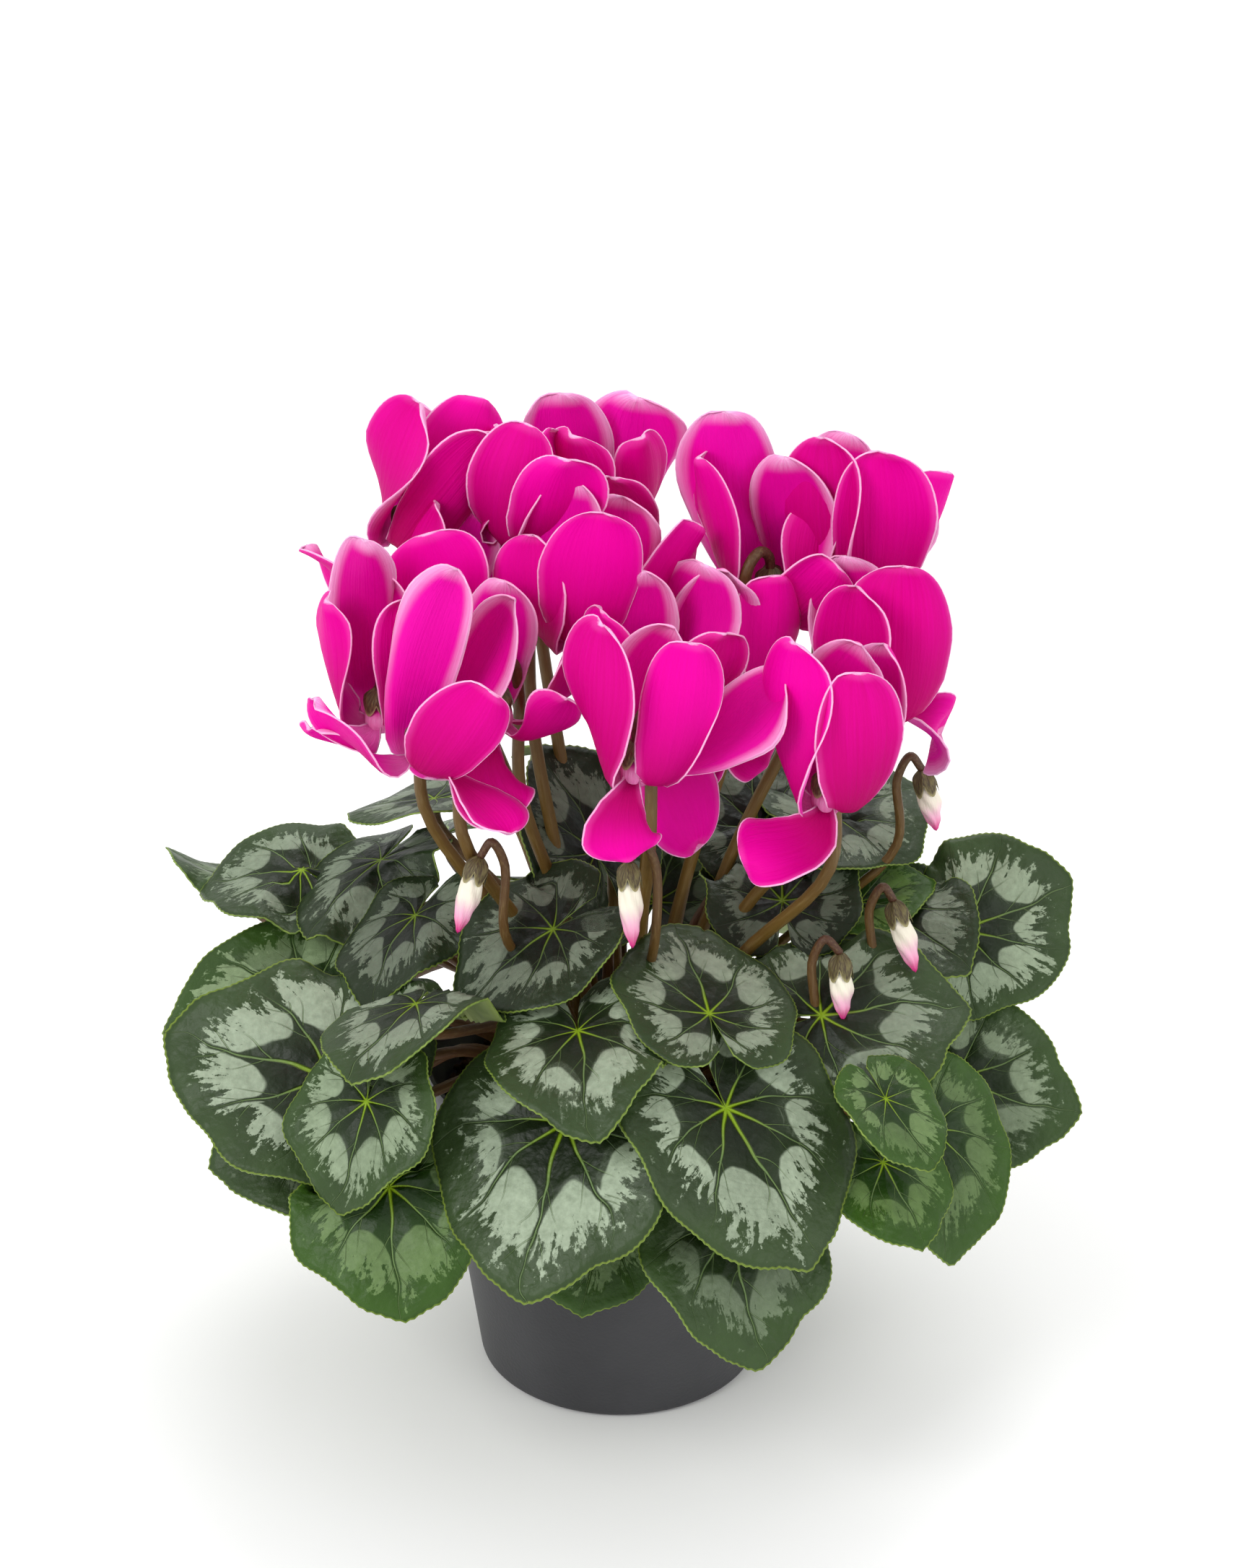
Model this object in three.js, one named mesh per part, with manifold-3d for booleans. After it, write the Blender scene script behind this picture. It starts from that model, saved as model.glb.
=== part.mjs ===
// Potted cyclamen: a plastic pot, its soil, and one plant with its blades, blooms and buds.
// Millimetres, +Z up, front at -Y, the pot's underside at z = 0.
import * as THREE from 'three';
import { mergeVertices } from 'three/addons/utils/BufferGeometryUtils.js';
import Module from 'manifold-3d';

const wasm = await Module();
wasm.setup();
const { Manifold, Mesh } = wasm;

// Pot
const POT_HEIGHT = 115;
const BASE_RADIUS = 47.3;
const BODY_RADIUS = 61.2;
const RIM_RADIUS = 65;
const RIM_HEIGHT = 14;
const POT_WALL = 1.8;
const POT_FLOOR = 2.4;
const POT_SIDES = 36;
const DRAIN_HOLES = 6;
const DRAIN_RADIUS = 4.5;
const DRAIN_RING = 30;

// Soil and tuber
const SOIL_LEVEL = 99;
const FIT = 0.35;
const SHEET_FIT = 0.5;
const TUBER_RADIUS = 27;
const TUBER_HALF_HEIGHT = 16;
const TUBER_CENTRE = 94;

// Stalks
const LEAF_STALK_RADIUS = 1.7;
const BLOOM_STALK_RADIUS = 1.9;
const BUD_STALK_RADIUS = 1.5;
const STALK_SIDES = 3;
const STALK_ROOT_Z = 103;

// Blades and petals
const BLADE_THICKNESS = 0.8;
const PETAL_THICKNESS = 0.7;
const BLADE_CLEARANCE = 1.8;
const BLADE_SECTORS = 12;
const BLADE_RINGS = [0, 0.55, 1];
const SINUS = 172;
const PETAL_ROWS = [0, 0.35, 0.74, 1];
const PETAL_COLUMNS = 2;
const PETAL_OVERLAP = 2.6;
const PETAL_TWIST = 54;
const ROUND_END = 0.6;
const CURL_START = 0.4;
const PETAL_TURNS = [46, 113, 180, 247, 314];

// How far the simplifying may move a surface, coarsest first
const SIMPLIFY_STEPS = [0.16, 0.14, 0.12, 0.1, 0.08, 0.06, 0.04, 0.02];
const LEAST_OVERLAP = 0.002;

const rad = (degrees) => degrees * Math.PI / 180;
const V = (x, y, z) => new THREE.Vector3(x, y, z);
const lerp = (a, b, t) => a + (b - a) * t;

// A value read from a table of [position, value] pairs, eased between them
function eased(table, x) {
  for (let i = 1; i < table.length; i++) {
    const [x0, v0] = table[i - 1];
    const [x1, v1] = table[i];
    if (x <= x1) {
      const t = (x - x0) / (x1 - x0);
      return lerp(v0, v1, t * t * (3 - 2 * t) * 0.5 + t * 0.5);
    }
  }
  return table[table.length - 1][1];
}

const smooth = (from, to, x) => {
  const t = Math.min(1, Math.max(0, (x - from) / (to - from)));
  return t * t * (3 - 2 * t);
};

// The corners and triangles of a geometry once its seams and poles are merged
function mergedParts(geometry) {
  geometry.deleteAttribute('normal');
  geometry.deleteAttribute('uv');
  const merged = mergeVertices(geometry, 1e-3);
  const index = merged.index.array;
  const triangles = [];
  for (let i = 0; i < index.length; i += 3) {
    const [a, b, c] = [index[i], index[i + 1], index[i + 2]];
    if (a !== b && b !== c && c !== a) triangles.push(a, b, c);
  }
  return { corners: merged.attributes.position, triangles };
}

function geometryOf(solid) {
  const { numProp, vertProperties, triVerts } = solid.getMesh();
  const count = vertProperties.length / numProp;
  const positions = new Float32Array(count * 3);
  for (let i = 0; i < count; i++) {
    for (let c = 0; c < 3; c++) positions[i * 3 + c] = vertProperties[i * numProp + c];
  }
  const geometry = new THREE.BufferGeometry();
  geometry.setAttribute('position', new THREE.BufferAttribute(positions, 3));
  geometry.setIndex(new THREE.BufferAttribute(new Uint32Array(triVerts), 1));
  return geometry;
}

function solidOf(geometry) {
  const { corners, triangles } = mergedParts(geometry);
  return new Manifold(new Mesh({
    numProp: 3, vertProperties: corners.array, triVerts: new Uint32Array(triangles),
  }));
}

function moveCorners(geometry, place) {
  const corners = geometry.attributes.position;
  for (let i = 0; i < corners.count; i++) {
    const moved = place(corners.getX(i), corners.getY(i), corners.getZ(i));
    corners.setXYZ(i, moved.x, moved.y, moved.z);
  }
  return geometry;
}

// A solid turned about Z from [radius, z] pairs that start and end on the axis
function turned(profile, sides) {
  const points = profile.map(([r, z]) => new THREE.Vector2(r, z));
  return new THREE.LatheGeometry(points, sides).rotateX(Math.PI / 2);
}

// A closed tube along a list of points
function tube(path, radii, sides) {
  const steps = path.length - 1;
  let side = null;
  const frames = path.map((p, k) => {
    const along = path[Math.min(k + 1, steps)].clone().sub(path[Math.max(k - 1, 0)]).normalize();
    if (!side) side = Math.abs(along.z) > 0.9 ? V(1, 0, 0) : V(0, 0, 1);
    side = side.clone().addScaledVector(along, -side.dot(along)).normalize();
    return { point: p, side, other: along.clone().cross(side), radius: radii[k] };
  });
  const cylinder = new THREE.CylinderGeometry(1, 1, steps, sides, steps);
  return solidOf(moveCorners(cylinder, (x, y, z) => {
    const { point, side: first, other, radius } = frames[Math.round(steps / 2 - y)];
    return point.clone().addScaledVector(first, radius * x).addScaledVector(other, radius * z);
  }));
}

// A closed thin sheet whose middle surface lies where place(column, row) says
function sheet(columns, rows, place, thickness) {
  const plane = new THREE.PlaneGeometry(columns, rows, columns, rows);
  const { corners, triangles } = mergedParts(moveCorners(plane,
    (x, y) => place(Math.round(x + columns / 2), Math.round(y + rows / 2))));
  const middle = Array.from({ length: corners.count },
    (_, i) => new THREE.Vector3().fromBufferAttribute(corners, i));
  const normals = middle.map(() => V(0, 0, 0));
  const edges = new Map();
  for (let i = 0; i < triangles.length; i += 3) {
    const [a, b, c] = triangles.slice(i, i + 3);
    const turn = middle[b].clone().sub(middle[a]).cross(middle[c].clone().sub(middle[a]));
    [a, b, c].forEach((corner) => normals[corner].add(turn));
    [[a, b], [b, c], [c, a]].forEach(([p, q]) => edges.set(p + '_' + q, [p, q]));
  }
  const front = middle.map((p, i) => p.clone().addScaledVector(normals[i].normalize(),
    thickness / 2));
  const back = middle.map((p, i) => p.clone().addScaledVector(normals[i], -thickness / 2));
  const count = middle.length;
  const faces = [...triangles];
  for (let i = 0; i < triangles.length; i += 3) {
    faces.push(triangles[i + 2] + count, triangles[i + 1] + count, triangles[i] + count);
  }
  edges.forEach(([p, q]) => {
    if (!edges.has(q + '_' + p)) faces.push(q, p, p + count, q, p + count, q + count);
  });
  const closed = new THREE.BufferGeometry().setFromPoints([...front, ...back]);
  closed.setIndex(faces);
  return solidOf(closed);
}

function alongCurve(points, count) {
  const curve = new THREE.CatmullRomCurve3(points, false, 'centripetal');
  return Array.from({ length: count + 1 }, (_, i) => curve.getPoint(i / count));
}

function bladeAxes(aimDegrees, droopDegrees, rollDegrees) {
  const aim = rad(aimDegrees);
  const droop = rad(droopDegrees);
  const roll = rad(rollDegrees);
  const tipward = V(Math.cos(droop) * Math.cos(aim), Math.cos(droop) * Math.sin(aim),
    -Math.sin(droop));
  const level = V(-Math.sin(aim), Math.cos(aim), 0);
  const up = tipward.clone().cross(level);
  const side = level.clone().multiplyScalar(Math.cos(roll))
    .addScaledVector(up, -Math.sin(roll));
  const normal = up.multiplyScalar(Math.cos(roll))
    .addScaledVector(level, Math.sin(roll));
  return { tipward, side, normal };
}

// Leaf blades. Each row: name, heart of the blade where the stalk joins it (x, y, z), the way
// the tip points seen from above, how far the tip droops, how far the left side drops, and the
// length from the heart to the tip. Then the width, the doming and the curl of the tip.
// A blade lies over those that come after it, and they bend clear of it.
const BLADES = [
  ['leaf_30', 46, 33, 181, 99, -39, 0, 38, 1.0, 0.10, 0.05],
  ['leaf_29', 12, 34, 152, 76, -25, 0, 42, 1.0, 0.08, 0.05],
  ['leaf_28', -8, 6, 187, 135, -60, 0, 39, 1.0, 0.10, 0.05],
  ['leaf_31', -61, 27, 195, 155, 13, -5, 34, 0.9, 0.10, 0.05],
  ['leaf_26', 70, 26, 190, 38, -3, -22, 40, 1.0, 0.10, 0.05],
  ['leaf_05', -21, -40, 184, -158, 24, 10, 40, 1.0, 0.10, 0.08],
  ['leaf_27', 53, -2, 173, 92, -40, 0, 37, 1.0, 0.10, 0.05],
  ['leaf_09', -66, -12, 173, -125, 18, -20, 36, 1.0, 0.12, 0.06],
  ['leaf_36', 2, 72, 187, 88, 22, 0, 55, 1.0, 0.10, 0.05],
  ['leaf_10', -79, 25, 173, -135, 10, -20, 38, 1.0, 0.12, 0.10],
  ['leaf_25', 79, 9, 166, 18, -16, -10, 27, 0.9, 0.08, 0.04],
  ['leaf_18', 83, -80, 146, -48, 30, 6, 27, 1.0, 0.08, 0.04],
  ['leaf_04', 28, -62, 166, 106, -20, -10, 42, 1.0, 0.10, 0.02],
  ['leaf_11', -106, 33, 165, 168, 8, 8, 38, 1.0, 0.10, 0.05],
  ['leaf_12', -124, 56, 147, 165, 2, -24, 33, 0.9, 0.02, -0.18],
  ['leaf_08', -64, -61, 169, -122, -2, -20, 40, 1.0, 0.12, 0.08],
  ['leaf_03', -13, -74, 167, -84, 4, -12, 42, 1.0, 0.12, 0.10],
  ['leaf_02', 33, -84, 145, -52, 36, 0, 57, 0.98, 0.10, 0.04],
  ['leaf_19', 64, -48, 157, 9, -4, -28, 50, 0.95, 0.10, 0.05],
  ['leaf_07', -79, -80, 145, -116, 44, -12, 36, 1.08, 0.10, 0.05],
  ['leaf_01', -17, -88, 142, -108, 34, -6, 58, 1.0, 0.10, 0.06],
  ['leaf_24', 88, 5, 165, -48, 4, -18, 36, 1.0, 0.10, 0.05],
  ['leaf_23', 114, 8, 156, 25, -16, -50, 43, 1.0, 0.08, 0.04],
  ['leaf_06', -93, -52, 136, 169, -14, 38, 56, 0.95, 0.10, 0.06],
  ['leaf_13', -103, -12, 142, 178, 8, 22, 50, 0.95, 0.10, 0.05],
  ['leaf_32', 69, 67, 152, 45, 26, 0, 57, 1.0, 0.10, 0.05],
  ['leaf_35', -60, 74, 156, 130, 26, 0, 55, 1.0, 0.10, 0.05],
  ['leaf_34', -22, 82, 133, 104, 30, 0, 60, 1.0, 0.10, 0.05],
  ['leaf_20', 83, -78, 121, -60, 30, 8, 31, 1.0, 0.10, 0.05],
  ['leaf_21', 100, -62, 123, -72, 48, 12, 43, 0.85, 0.08, 0.05],
  ['leaf_33', 34, 84, 129, 68, 32, 0, 60, 1.0, 0.10, 0.05],
  ['leaf_22', 111, -20, 115, -10, 8, -42, 42, 1.0, 0.10, 0.05],
  ['leaf_14', -94, -50, 116, -166, 8, 36, 40, 1.0, 0.10, 0.05],
  ['leaf_37', -88, 50, 119, 150, 32, 0, 54, 1.0, 0.10, 0.05],
  ['leaf_15', -72, -92, 121, -82, 45, -16, 42, 1.12, 0.10, 0.05],
  ['leaf_17', 34, -96, 110, -66, 45, 6, 46, 1.0, 0.10, 0.05],
  ['leaf_16', -8, -89, 107, -100, 45, 8, 31, 1.1, 0.10, 0.04],
].map(([name, x, y, z, aim, droop, roll, length, width, dome, curl], index) => ({
  name, heart: V(x, y, z), aim, droop, roll, length, width, dome, curl, index,
  axes: bladeAxes(aim, droop, roll),
}));

// The heart-shaped outline, as a share of the length, by the angle from the tip
const OUTLINE = [[0, 1.0], [12, 0.93], [28, 0.85], [50, 0.80], [90, 0.69], [135, 0.66],
  [158, 0.60], [SINUS, 0.44]];

function outlineAt(blade, angle) {
  const a = Math.abs(angle);
  const wave = 0.025 * Math.sin(rad(angle) * 5 + blade.index * 1.7)
    + 0.018 * Math.sin(rad(angle) * 9 + blade.index * 2.9);
  return eased(OUTLINE, a) * (1 + wave * Math.min(1, a / 25));
}

// Height of the unbent surface over the plane of the blade, all as shares of the length
function bladeHeight(blade, along, across, reach, angle) {
  return 0.045 * reach ** 3 * Math.sin(rad(angle) * 4 + blade.index * 2.3)
    - blade.dome * (along * along + across * across)
    + 0.10 * Math.abs(across)
    - blade.curl * Math.max(0, along) ** 2 * 1.5
    + 0.10 * Math.max(0, -along);
}

// Moves a point of one blade under the blades that lie over it
function bentClear(blade, point, reach) {
  const held = smooth(0.02, 0.35, reach);
  for (let i = 0; i < blade.index; i++) {
    const over = BLADES[i];
    if (over.heart.distanceTo(point) > 1.3 * over.length) continue;
    const offset = point.clone().sub(over.heart).multiplyScalar(1 / over.length);
    const along = offset.dot(over.axes.tipward);
    const across = offset.dot(over.axes.side);
    const angle = Math.atan2(across / over.width, along) / rad(1);
    const share = Math.hypot(along, across / over.width) / outlineAt(over, angle);
    const surface = bladeHeight(over, along, across, Math.min(share, 1), angle);
    const above = (offset.dot(over.axes.normal) - surface) * over.length + BLADE_CLEARANCE;
    if (above < 0 || above > 16) continue;
    const weight = held * (1 - smooth(1.02, 1.3, share));
    point.addScaledVector(over.axes.normal, -above * weight);
  }
  return point;
}

// A point of the blade's middle surface; reach is 0 at the heart and 1 at the edge
function bladePoint(blade, reach, angle) {
  const r = reach * outlineAt(blade, angle);
  const along = r * Math.cos(rad(angle));
  const across = r * Math.sin(rad(angle)) * blade.width;
  const height = bladeHeight(blade, along, across, reach, angle);
  const point = blade.heart.clone()
    .addScaledVector(blade.axes.tipward, along * blade.length)
    .addScaledVector(blade.axes.side, across * blade.length)
    .addScaledVector(blade.axes.normal, height * blade.length);
  return bentClear(blade, point, reach);
}

function bladeSolid(blade, extra = 0) {
  const place = (column, row) => bladePoint(blade, BLADE_RINGS[row],
    lerp(SINUS, -SINUS, column / BLADE_SECTORS));
  return sheet(BLADE_SECTORS, BLADE_RINGS.length - 1, place, BLADE_THICKNESS + 2 * extra);
}

// The stalk of a blade: from the tuber, over the pot's rim, to the underside of the heart
function bladeStalk(blade, extra = 0) {
  const { normal } = blade.axes;
  const { heart } = blade;
  const turn = Math.atan2(heart.y, heart.x);
  const reach = Math.hypot(heart.x, heart.y);
  const rootReach = lerp(20, 8, Math.min(1, Math.max(0, (heart.z - 110) / 90)));
  const root = V(rootReach * Math.cos(turn), rootReach * Math.sin(turn), STALK_ROOT_Z);
  const end = heart.clone().addScaledVector(normal, -(BLADE_THICKNESS / 2 + FIT));
  const neck = heart.clone().addScaledVector(normal, -9);
  const overRim = 1 - smooth(115, 145, heart.z);
  const middleReach = Math.min(lerp(0.52, 0.68, overRim) * reach, 58);
  const middleZ = Math.max(lerp(root.z, neck.z, 0.62) + 4, 96 + 0.62 * middleReach);
  const middle = V(middleReach * Math.cos(turn), middleReach * Math.sin(turn), middleZ);
  const path = alongCurve([root, middle, neck, end], 4);
  const radii = path.map((_, i) => LEAF_STALK_RADIUS * lerp(1.15, 0.92, i / 4) + extra);
  return tube(path, radii, STALK_SIDES);
}

// Blooms. The mouth faces down, its stalk hooks over from stemSide, and the five petals, in
// order round from the stalk, reach back up: tip from the mouth (x, y, z), and the width.
const BLOOMS = [
  { name: 'bloom_01', mouth: [-68, 34, 287], stemSide: -10, petals: [
    [18, 28, 30, 30], [4, 24, 36, 28], [5, -4, 48, 32], [29, -14, 40, 26], [24, 14, 42, 32]] },
  { name: 'bloom_02', mouth: [-33, 22, 293], stemSide: 60, petals: [
    [-14, 20, 26, 28], [-6, 14, 32, 30], [4, -4, 40, 26], [17, -16, 33, 30], [12, 24, 26, 30]] },
  { name: 'bloom_03', mouth: [-2, 51, 284], stemSide: -100, petals: [
    [-1, -20, 25, 24], [9, -4, 32, 22], [8, 14, 38, 36], [-17, 8, 42, 28], [-13, -12, 36, 30]] },
  { name: 'bloom_04', mouth: [-15, -4, 270], stemSide: 170, petals: [
    [-12, 2, 34, 26], [10, -10, 47, 32], [40, 12, 33, 26], [16, 22, 38, 30], [1, 14, 47, 26]] },
  { name: 'bloom_05', mouth: [48, 18, 272], stemSide: -135, petals: [
    [20, -16, 20, 26], [16, 8, 30, 24], [4, 4, 48, 30], [-15, 12, 60, 32], [-23, 4, 48, 28]] },
  { name: 'bloom_06', mouth: [76, 27, 272], stemSide: 185, petals: [
    [-12, -6, 55, 30], [5, -12, 53, 32], [28, 8, 37, 30], [18, 26, 26, 28], [-3, 18, 46, 28]] },
  { name: 'bloom_07', mouth: [-59, 5, 273], stemSide: -10, petals: [
    [27, 12, 22, 28], [14, 20, 29, 28], [1, 14, 33, 30], [-40, 9, 20, 24], [-1, -6, 31, 34]] },
  { name: 'bloom_08', mouth: [-75, -22, 249], stemSide: 0, petals: [
    [-1, 13, 46, 22], [-4, 6, 60, 22], [-15, -6, 45, 25], [-20, -24, 10, 24], [8, -8, 46, 20]] },
  { name: 'bloom_09', mouth: [-61, -48, 250], stemSide: 25, petals: [
    [29, 16, 46, 24], [12, 4, 62, 24], [-32, -8, 24, 24], [22, -18, 32, 27], [28, -20, -16, 22]] },
  { name: 'bloom_10', mouth: [-38, -28, 252], stemSide: 60, petals: [
    [2, 14, 42, 26], [-20, -12, -14, 20], [3, -26, -22, 26], [22, -16, 16, 22], [26, 4, 30, 24]] },
  { name: 'bloom_11', mouth: [5, -56, 248], stemSide: 70, petals: [
    [12, 14, 43, 26], [-10, -8, 55, 30], [-2, -18, -20, 24], [16, -10, 50, 26], [46, 8, 30, 30]] },
  { name: 'bloom_12', mouth: [11, -20, 257], stemSide: 90, petals: [
    [-4, 7, 40, 26], [-17, -6, 33, 24], [14, -12, -48, 26], [22, -7, 25, 24], [15, 16, 38, 32]] },
  { name: 'bloom_13', mouth: [32, -6, 247], stemSide: 100, petals: [
    [2, 0, 46, 28], [-6, -18, -22, 24], [14, -20, -12, 22], [16, 4, 43, 26], [10, 24, 32, 28]] },
  { name: 'bloom_14', mouth: [83, -10, 247], stemSide: 175, petals: [
    [-10, -8, 47, 28], [5, -2, 51, 36], [20, 14, -16, 26], [12, 28, 28, 28], [-12, 16, 46, 28]] },
  { name: 'bloom_15', mouth: [64, -50, 235], stemSide: 80, petals: [
    [10, 6, 51, 28], [-11, -4, 57, 32], [-27, -19, -9, 29], [7, -12, 51, 26], [17, 16, 47, 28]] },
].map((bloom, index) => ({ ...bloom, mouth: V(...bloom.mouth), index }));

const TUBE_RADIUS = 4.6;
const TUBE_TOP = 7;
const HOOK_REACH = 13;
const HOOK_TOP = 18.5;

// Share of a petal's full width, from its root to where its round end starts
const PETAL_WIDTHS = [[0, 0.22], [0.12, 0.37], [0.3, 0.66], [0.5, 0.92], [0.7, 1.05], [1, 1.08]];

function petalWidth(t) {
  if (t <= ROUND_END) return eased(PETAL_WIDTHS, t);
  const share = (t - ROUND_END) / (1 - ROUND_END);
  return eased(PETAL_WIDTHS, t) * Math.sqrt(Math.max(0, 1 - share ** 2.5));
}

// How far the outer part of a petal turns its face to the front or the back
function petalTwist(turn) {
  const towardsFront = Math.sin(turn) < 0.3 ? -1 : 1;
  return rad(PETAL_TWIST) * Math.cos(turn) * towardsFront;
}

// How far one margin of a petal curls over to the front, in radians
function petalCurl(seed, t) {
  return (1.2 + 1.0 * Math.sin(seed * 1.1)) * Math.sin(Math.PI * Math.min(1, t * 1.1));
}

function petalSpine(bloom, petal, turn, t) {
  const tip = V(petal[0], petal[1], petal[2]);
  const outward = V(Math.cos(turn), Math.sin(turn), 0);
  const root = outward.clone().multiplyScalar(3).add(V(0, 0, -0.2));
  const first = outward.clone().multiplyScalar(15).add(V(0, 0, -9));
  const second = tip.clone().multiplyScalar(0.62).addScaledVector(outward, 7);
  const u = 1 - t;
  return bloom.mouth.clone()
    .addScaledVector(root, u * u * u)
    .addScaledVector(first, 3 * u * u * t)
    .addScaledVector(second, 3 * u * t * t)
    .addScaledVector(tip, t * t * t);
}

// A point of a petal's middle surface; t runs from root to tip and s from side to side
function petalPoint(bloom, k, t, s) {
  const petal = bloom.petals[k];
  const turn = rad(bloom.stemSide + PETAL_TURNS[k]);
  const spine = petalSpine(bloom, petal, turn, t);
  const ahead = petalSpine(bloom, petal, turn, t + 0.01);
  const behind = petalSpine(bloom, petal, turn, t - 0.01);
  const along = ahead.sub(behind).normalize();
  const twisted = turn + petalTwist(turn) * smooth(0.1, 0.8, t);
  const lean = V(petal[0], petal[1], 0).multiplyScalar(1 / 20);
  const out = V(Math.cos(twisted), Math.sin(twisted), 0).lerp(lean, t * 0.35);
  const wide = V(-out.y, out.x, 0);
  wide.addScaledVector(along, -wide.dot(along)).normalize();
  const face = wide.clone().cross(along);
  const seed = bloom.index * 5 + k;
  const half = petal[3] / 2 * petalWidth(t);
  const cup = lerp(0.95, 0.2 + 0.5 * Math.sin(seed * 2.4), Math.min(1, t * 1.4));
  const held = Math.min(1, half / 5);
  const ruffle = 2 * t * t * Math.sin(s * 3.1 + seed * 1.9) * held;
  const overlap = PETAL_OVERLAP * s * Math.min(1, t * 8) * held;
  const uneven = 1 + 0.10 * s * Math.sin(4.5 * t + seed * 2.1);
  const curledSide = seed % 3 ? 1 : -1;
  const past = Math.max(0, s * curledSide - CURL_START);
  const curl = petalCurl(seed, t) * past / (1 - CURL_START) + 1e-6;
  const reach = curledSide * (Math.min(s * curledSide, CURL_START) + past * Math.sin(curl) / curl);
  const lift = half * past * (1 - Math.cos(curl)) / curl;
  const bend = cup * s;
  return spine
    .addScaledVector(wide, half * reach * (1 - 0.16 * bend * bend) * uneven)
    .addScaledVector(face, -half * 0.5 * bend * s + ruffle + overlap + lift);
}

function petalSolid(bloom, k, extra) {
  const place = (column, row) => petalPoint(bloom, k, PETAL_ROWS[row],
    lerp(-1, 1, column / PETAL_COLUMNS));
  return sheet(PETAL_COLUMNS, PETAL_ROWS.length - 1, place, PETAL_THICKNESS + 2 * extra);
}

// The short tube that the five petals grow from
function bloomSolid(bloom, extra = 0) {
  const { mouth } = bloom;
  const heights = [TUBE_TOP, 3, -2.6];
  const radii = [3.0, TUBE_RADIUS, 4.2];
  const path = heights.map((h) => mouth.clone().add(V(0, 0, h)));
  const petals = bloom.petals.map((_, k) => petalSolid(bloom, k, extra));
  return Manifold.union([tube(path, radii.map((r) => r + extra), 6), ...petals]);
}

function stalkRoot(x, y, reach) {
  const turn = Math.atan2(y, x);
  return V(reach * Math.cos(turn), reach * Math.sin(turn), STALK_ROOT_Z);
}

// A flower stalk: from the tuber up to its hook and over into the calyx
function bloomStalk(bloom, extra = 0) {
  const { mouth } = bloom;
  const turn = rad(bloom.stemSide);
  const at = (reach, height) => mouth.clone()
    .add(V(reach * Math.cos(turn), reach * Math.sin(turn), height));
  const foot = at(HOOK_REACH, -30);
  const root = stalkRoot(foot.x, foot.y, 4 + (bloom.index * 5) % 9);
  const middle = root.clone().lerp(foot, 0.5).add(V(0, 0, 8));
  const path = alongCurve([root, middle, foot, at(HOOK_REACH, 4), at(10, 15.5),
    at(5, HOOK_TOP), at(1, 15.5), at(0, 11)], 11);
  const radii = path.map((_, i) => BLOOM_STALK_RADIUS * lerp(1.15, 0.85, i / 11) + extra);
  const calyx = tube([at(0, 12.5), at(0, 10), at(0, TUBE_TOP + FIT)], [1.6, 4.0, 4.6], 6);
  return [tube(path, radii, STALK_SIDES), calyx];
}

// Buds: top of the closed corolla, its tip, and the side that the stalk hooks over from
const BUDS = [
  { name: 'bud_1', top: [-45, -45, 208], tip: [-51, -51, 189], stemSide: 10 },
  { name: 'bud_2', top: [3, -52, 210], tip: [4, -57, 187], stemSide: 25 },
  { name: 'bud_3', top: [89, -25, 181], tip: [95, -31, 163], stemSide: 175 },
  { name: 'bud_4', top: [70, -45, 173], tip: [71, -49, 156], stemSide: 170 },
  { name: 'bud_5', top: [99, 10, 210], tip: [103, 7, 194], stemSide: 180 },
].map((bud, index) => ({ ...bud, top: V(...bud.top), tip: V(...bud.tip), index }));

function budSolid(bud) {
  const steps = [0, 0.2, 0.45, 0.75, 1];
  const path = steps.map((t) => bud.top.clone().lerp(bud.tip, t));
  return tube(path, [2.6, 3.6, 3.8, 2.4, 0.5], 8);
}

function budStalk(bud, extra = 0) {
  const turn = rad(bud.stemSide);
  const down = bud.tip.clone().sub(bud.top).normalize();
  const at = (reach, height) => bud.top.clone()
    .add(V(reach * Math.cos(turn), reach * Math.sin(turn), height));
  const foot = at(9, -24);
  const root = stalkRoot(foot.x, foot.y, 7 + bud.index);
  const middle = root.clone().lerp(foot, 0.5).add(V(0, 0, 6));
  const neck = bud.top.clone().addScaledVector(down, -5);
  const path = alongCurve([root, middle, foot, at(9, 2), at(5, 10), neck], 8);
  const radii = path.map((_, i) => BUD_STALK_RADIUS * lerp(1.15, 0.9, i / 8) + extra);
  const cup = tube([bud.top.clone().addScaledVector(down, -6.5),
    bud.top.clone().addScaledVector(down, -4), bud.top.clone().addScaledVector(down, -FIT)],
  [1.4, 3.0, 3.6], 6);
  return [tube(path, radii, STALK_SIDES), cup];
}

function tuberSolid(extra) {
  const profile = [];
  for (let i = 0; i <= 6; i++) {
    const a = -Math.PI / 2 + Math.PI * i / 6;
    profile.push([(TUBER_RADIUS + extra) * Math.cos(a),
      TUBER_CENTRE + (TUBER_HALF_HEIGHT + extra) * Math.sin(a)]);
  }
  return solidOf(turned(profile, 16));
}

function stalkSolids(extra) {
  return [
    ...BLADES.map((blade) => bladeStalk(blade, extra)),
    ...BLOOMS.flatMap((bloom) => bloomStalk(bloom, extra)),
    ...BUDS.flatMap((bud) => budStalk(bud, extra)),
  ];
}

function largestOf(solid) {
  return solid.decompose().sort((a, b) => b.volume() - a.volume())[0];
}

// A solid with whatever crosses it taken out
function without(solid, others) {
  const box = solid.boundingBox();
  let rest = solid;
  others.forEach((other) => {
    const near = other.boundingBox();
    const apart = [0, 1, 2].some((i) => near.min[i] > box.max[i] || near.max[i] < box.min[i]);
    if (!apart) rest = rest.subtract(other);
  });
  return rest;
}

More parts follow.
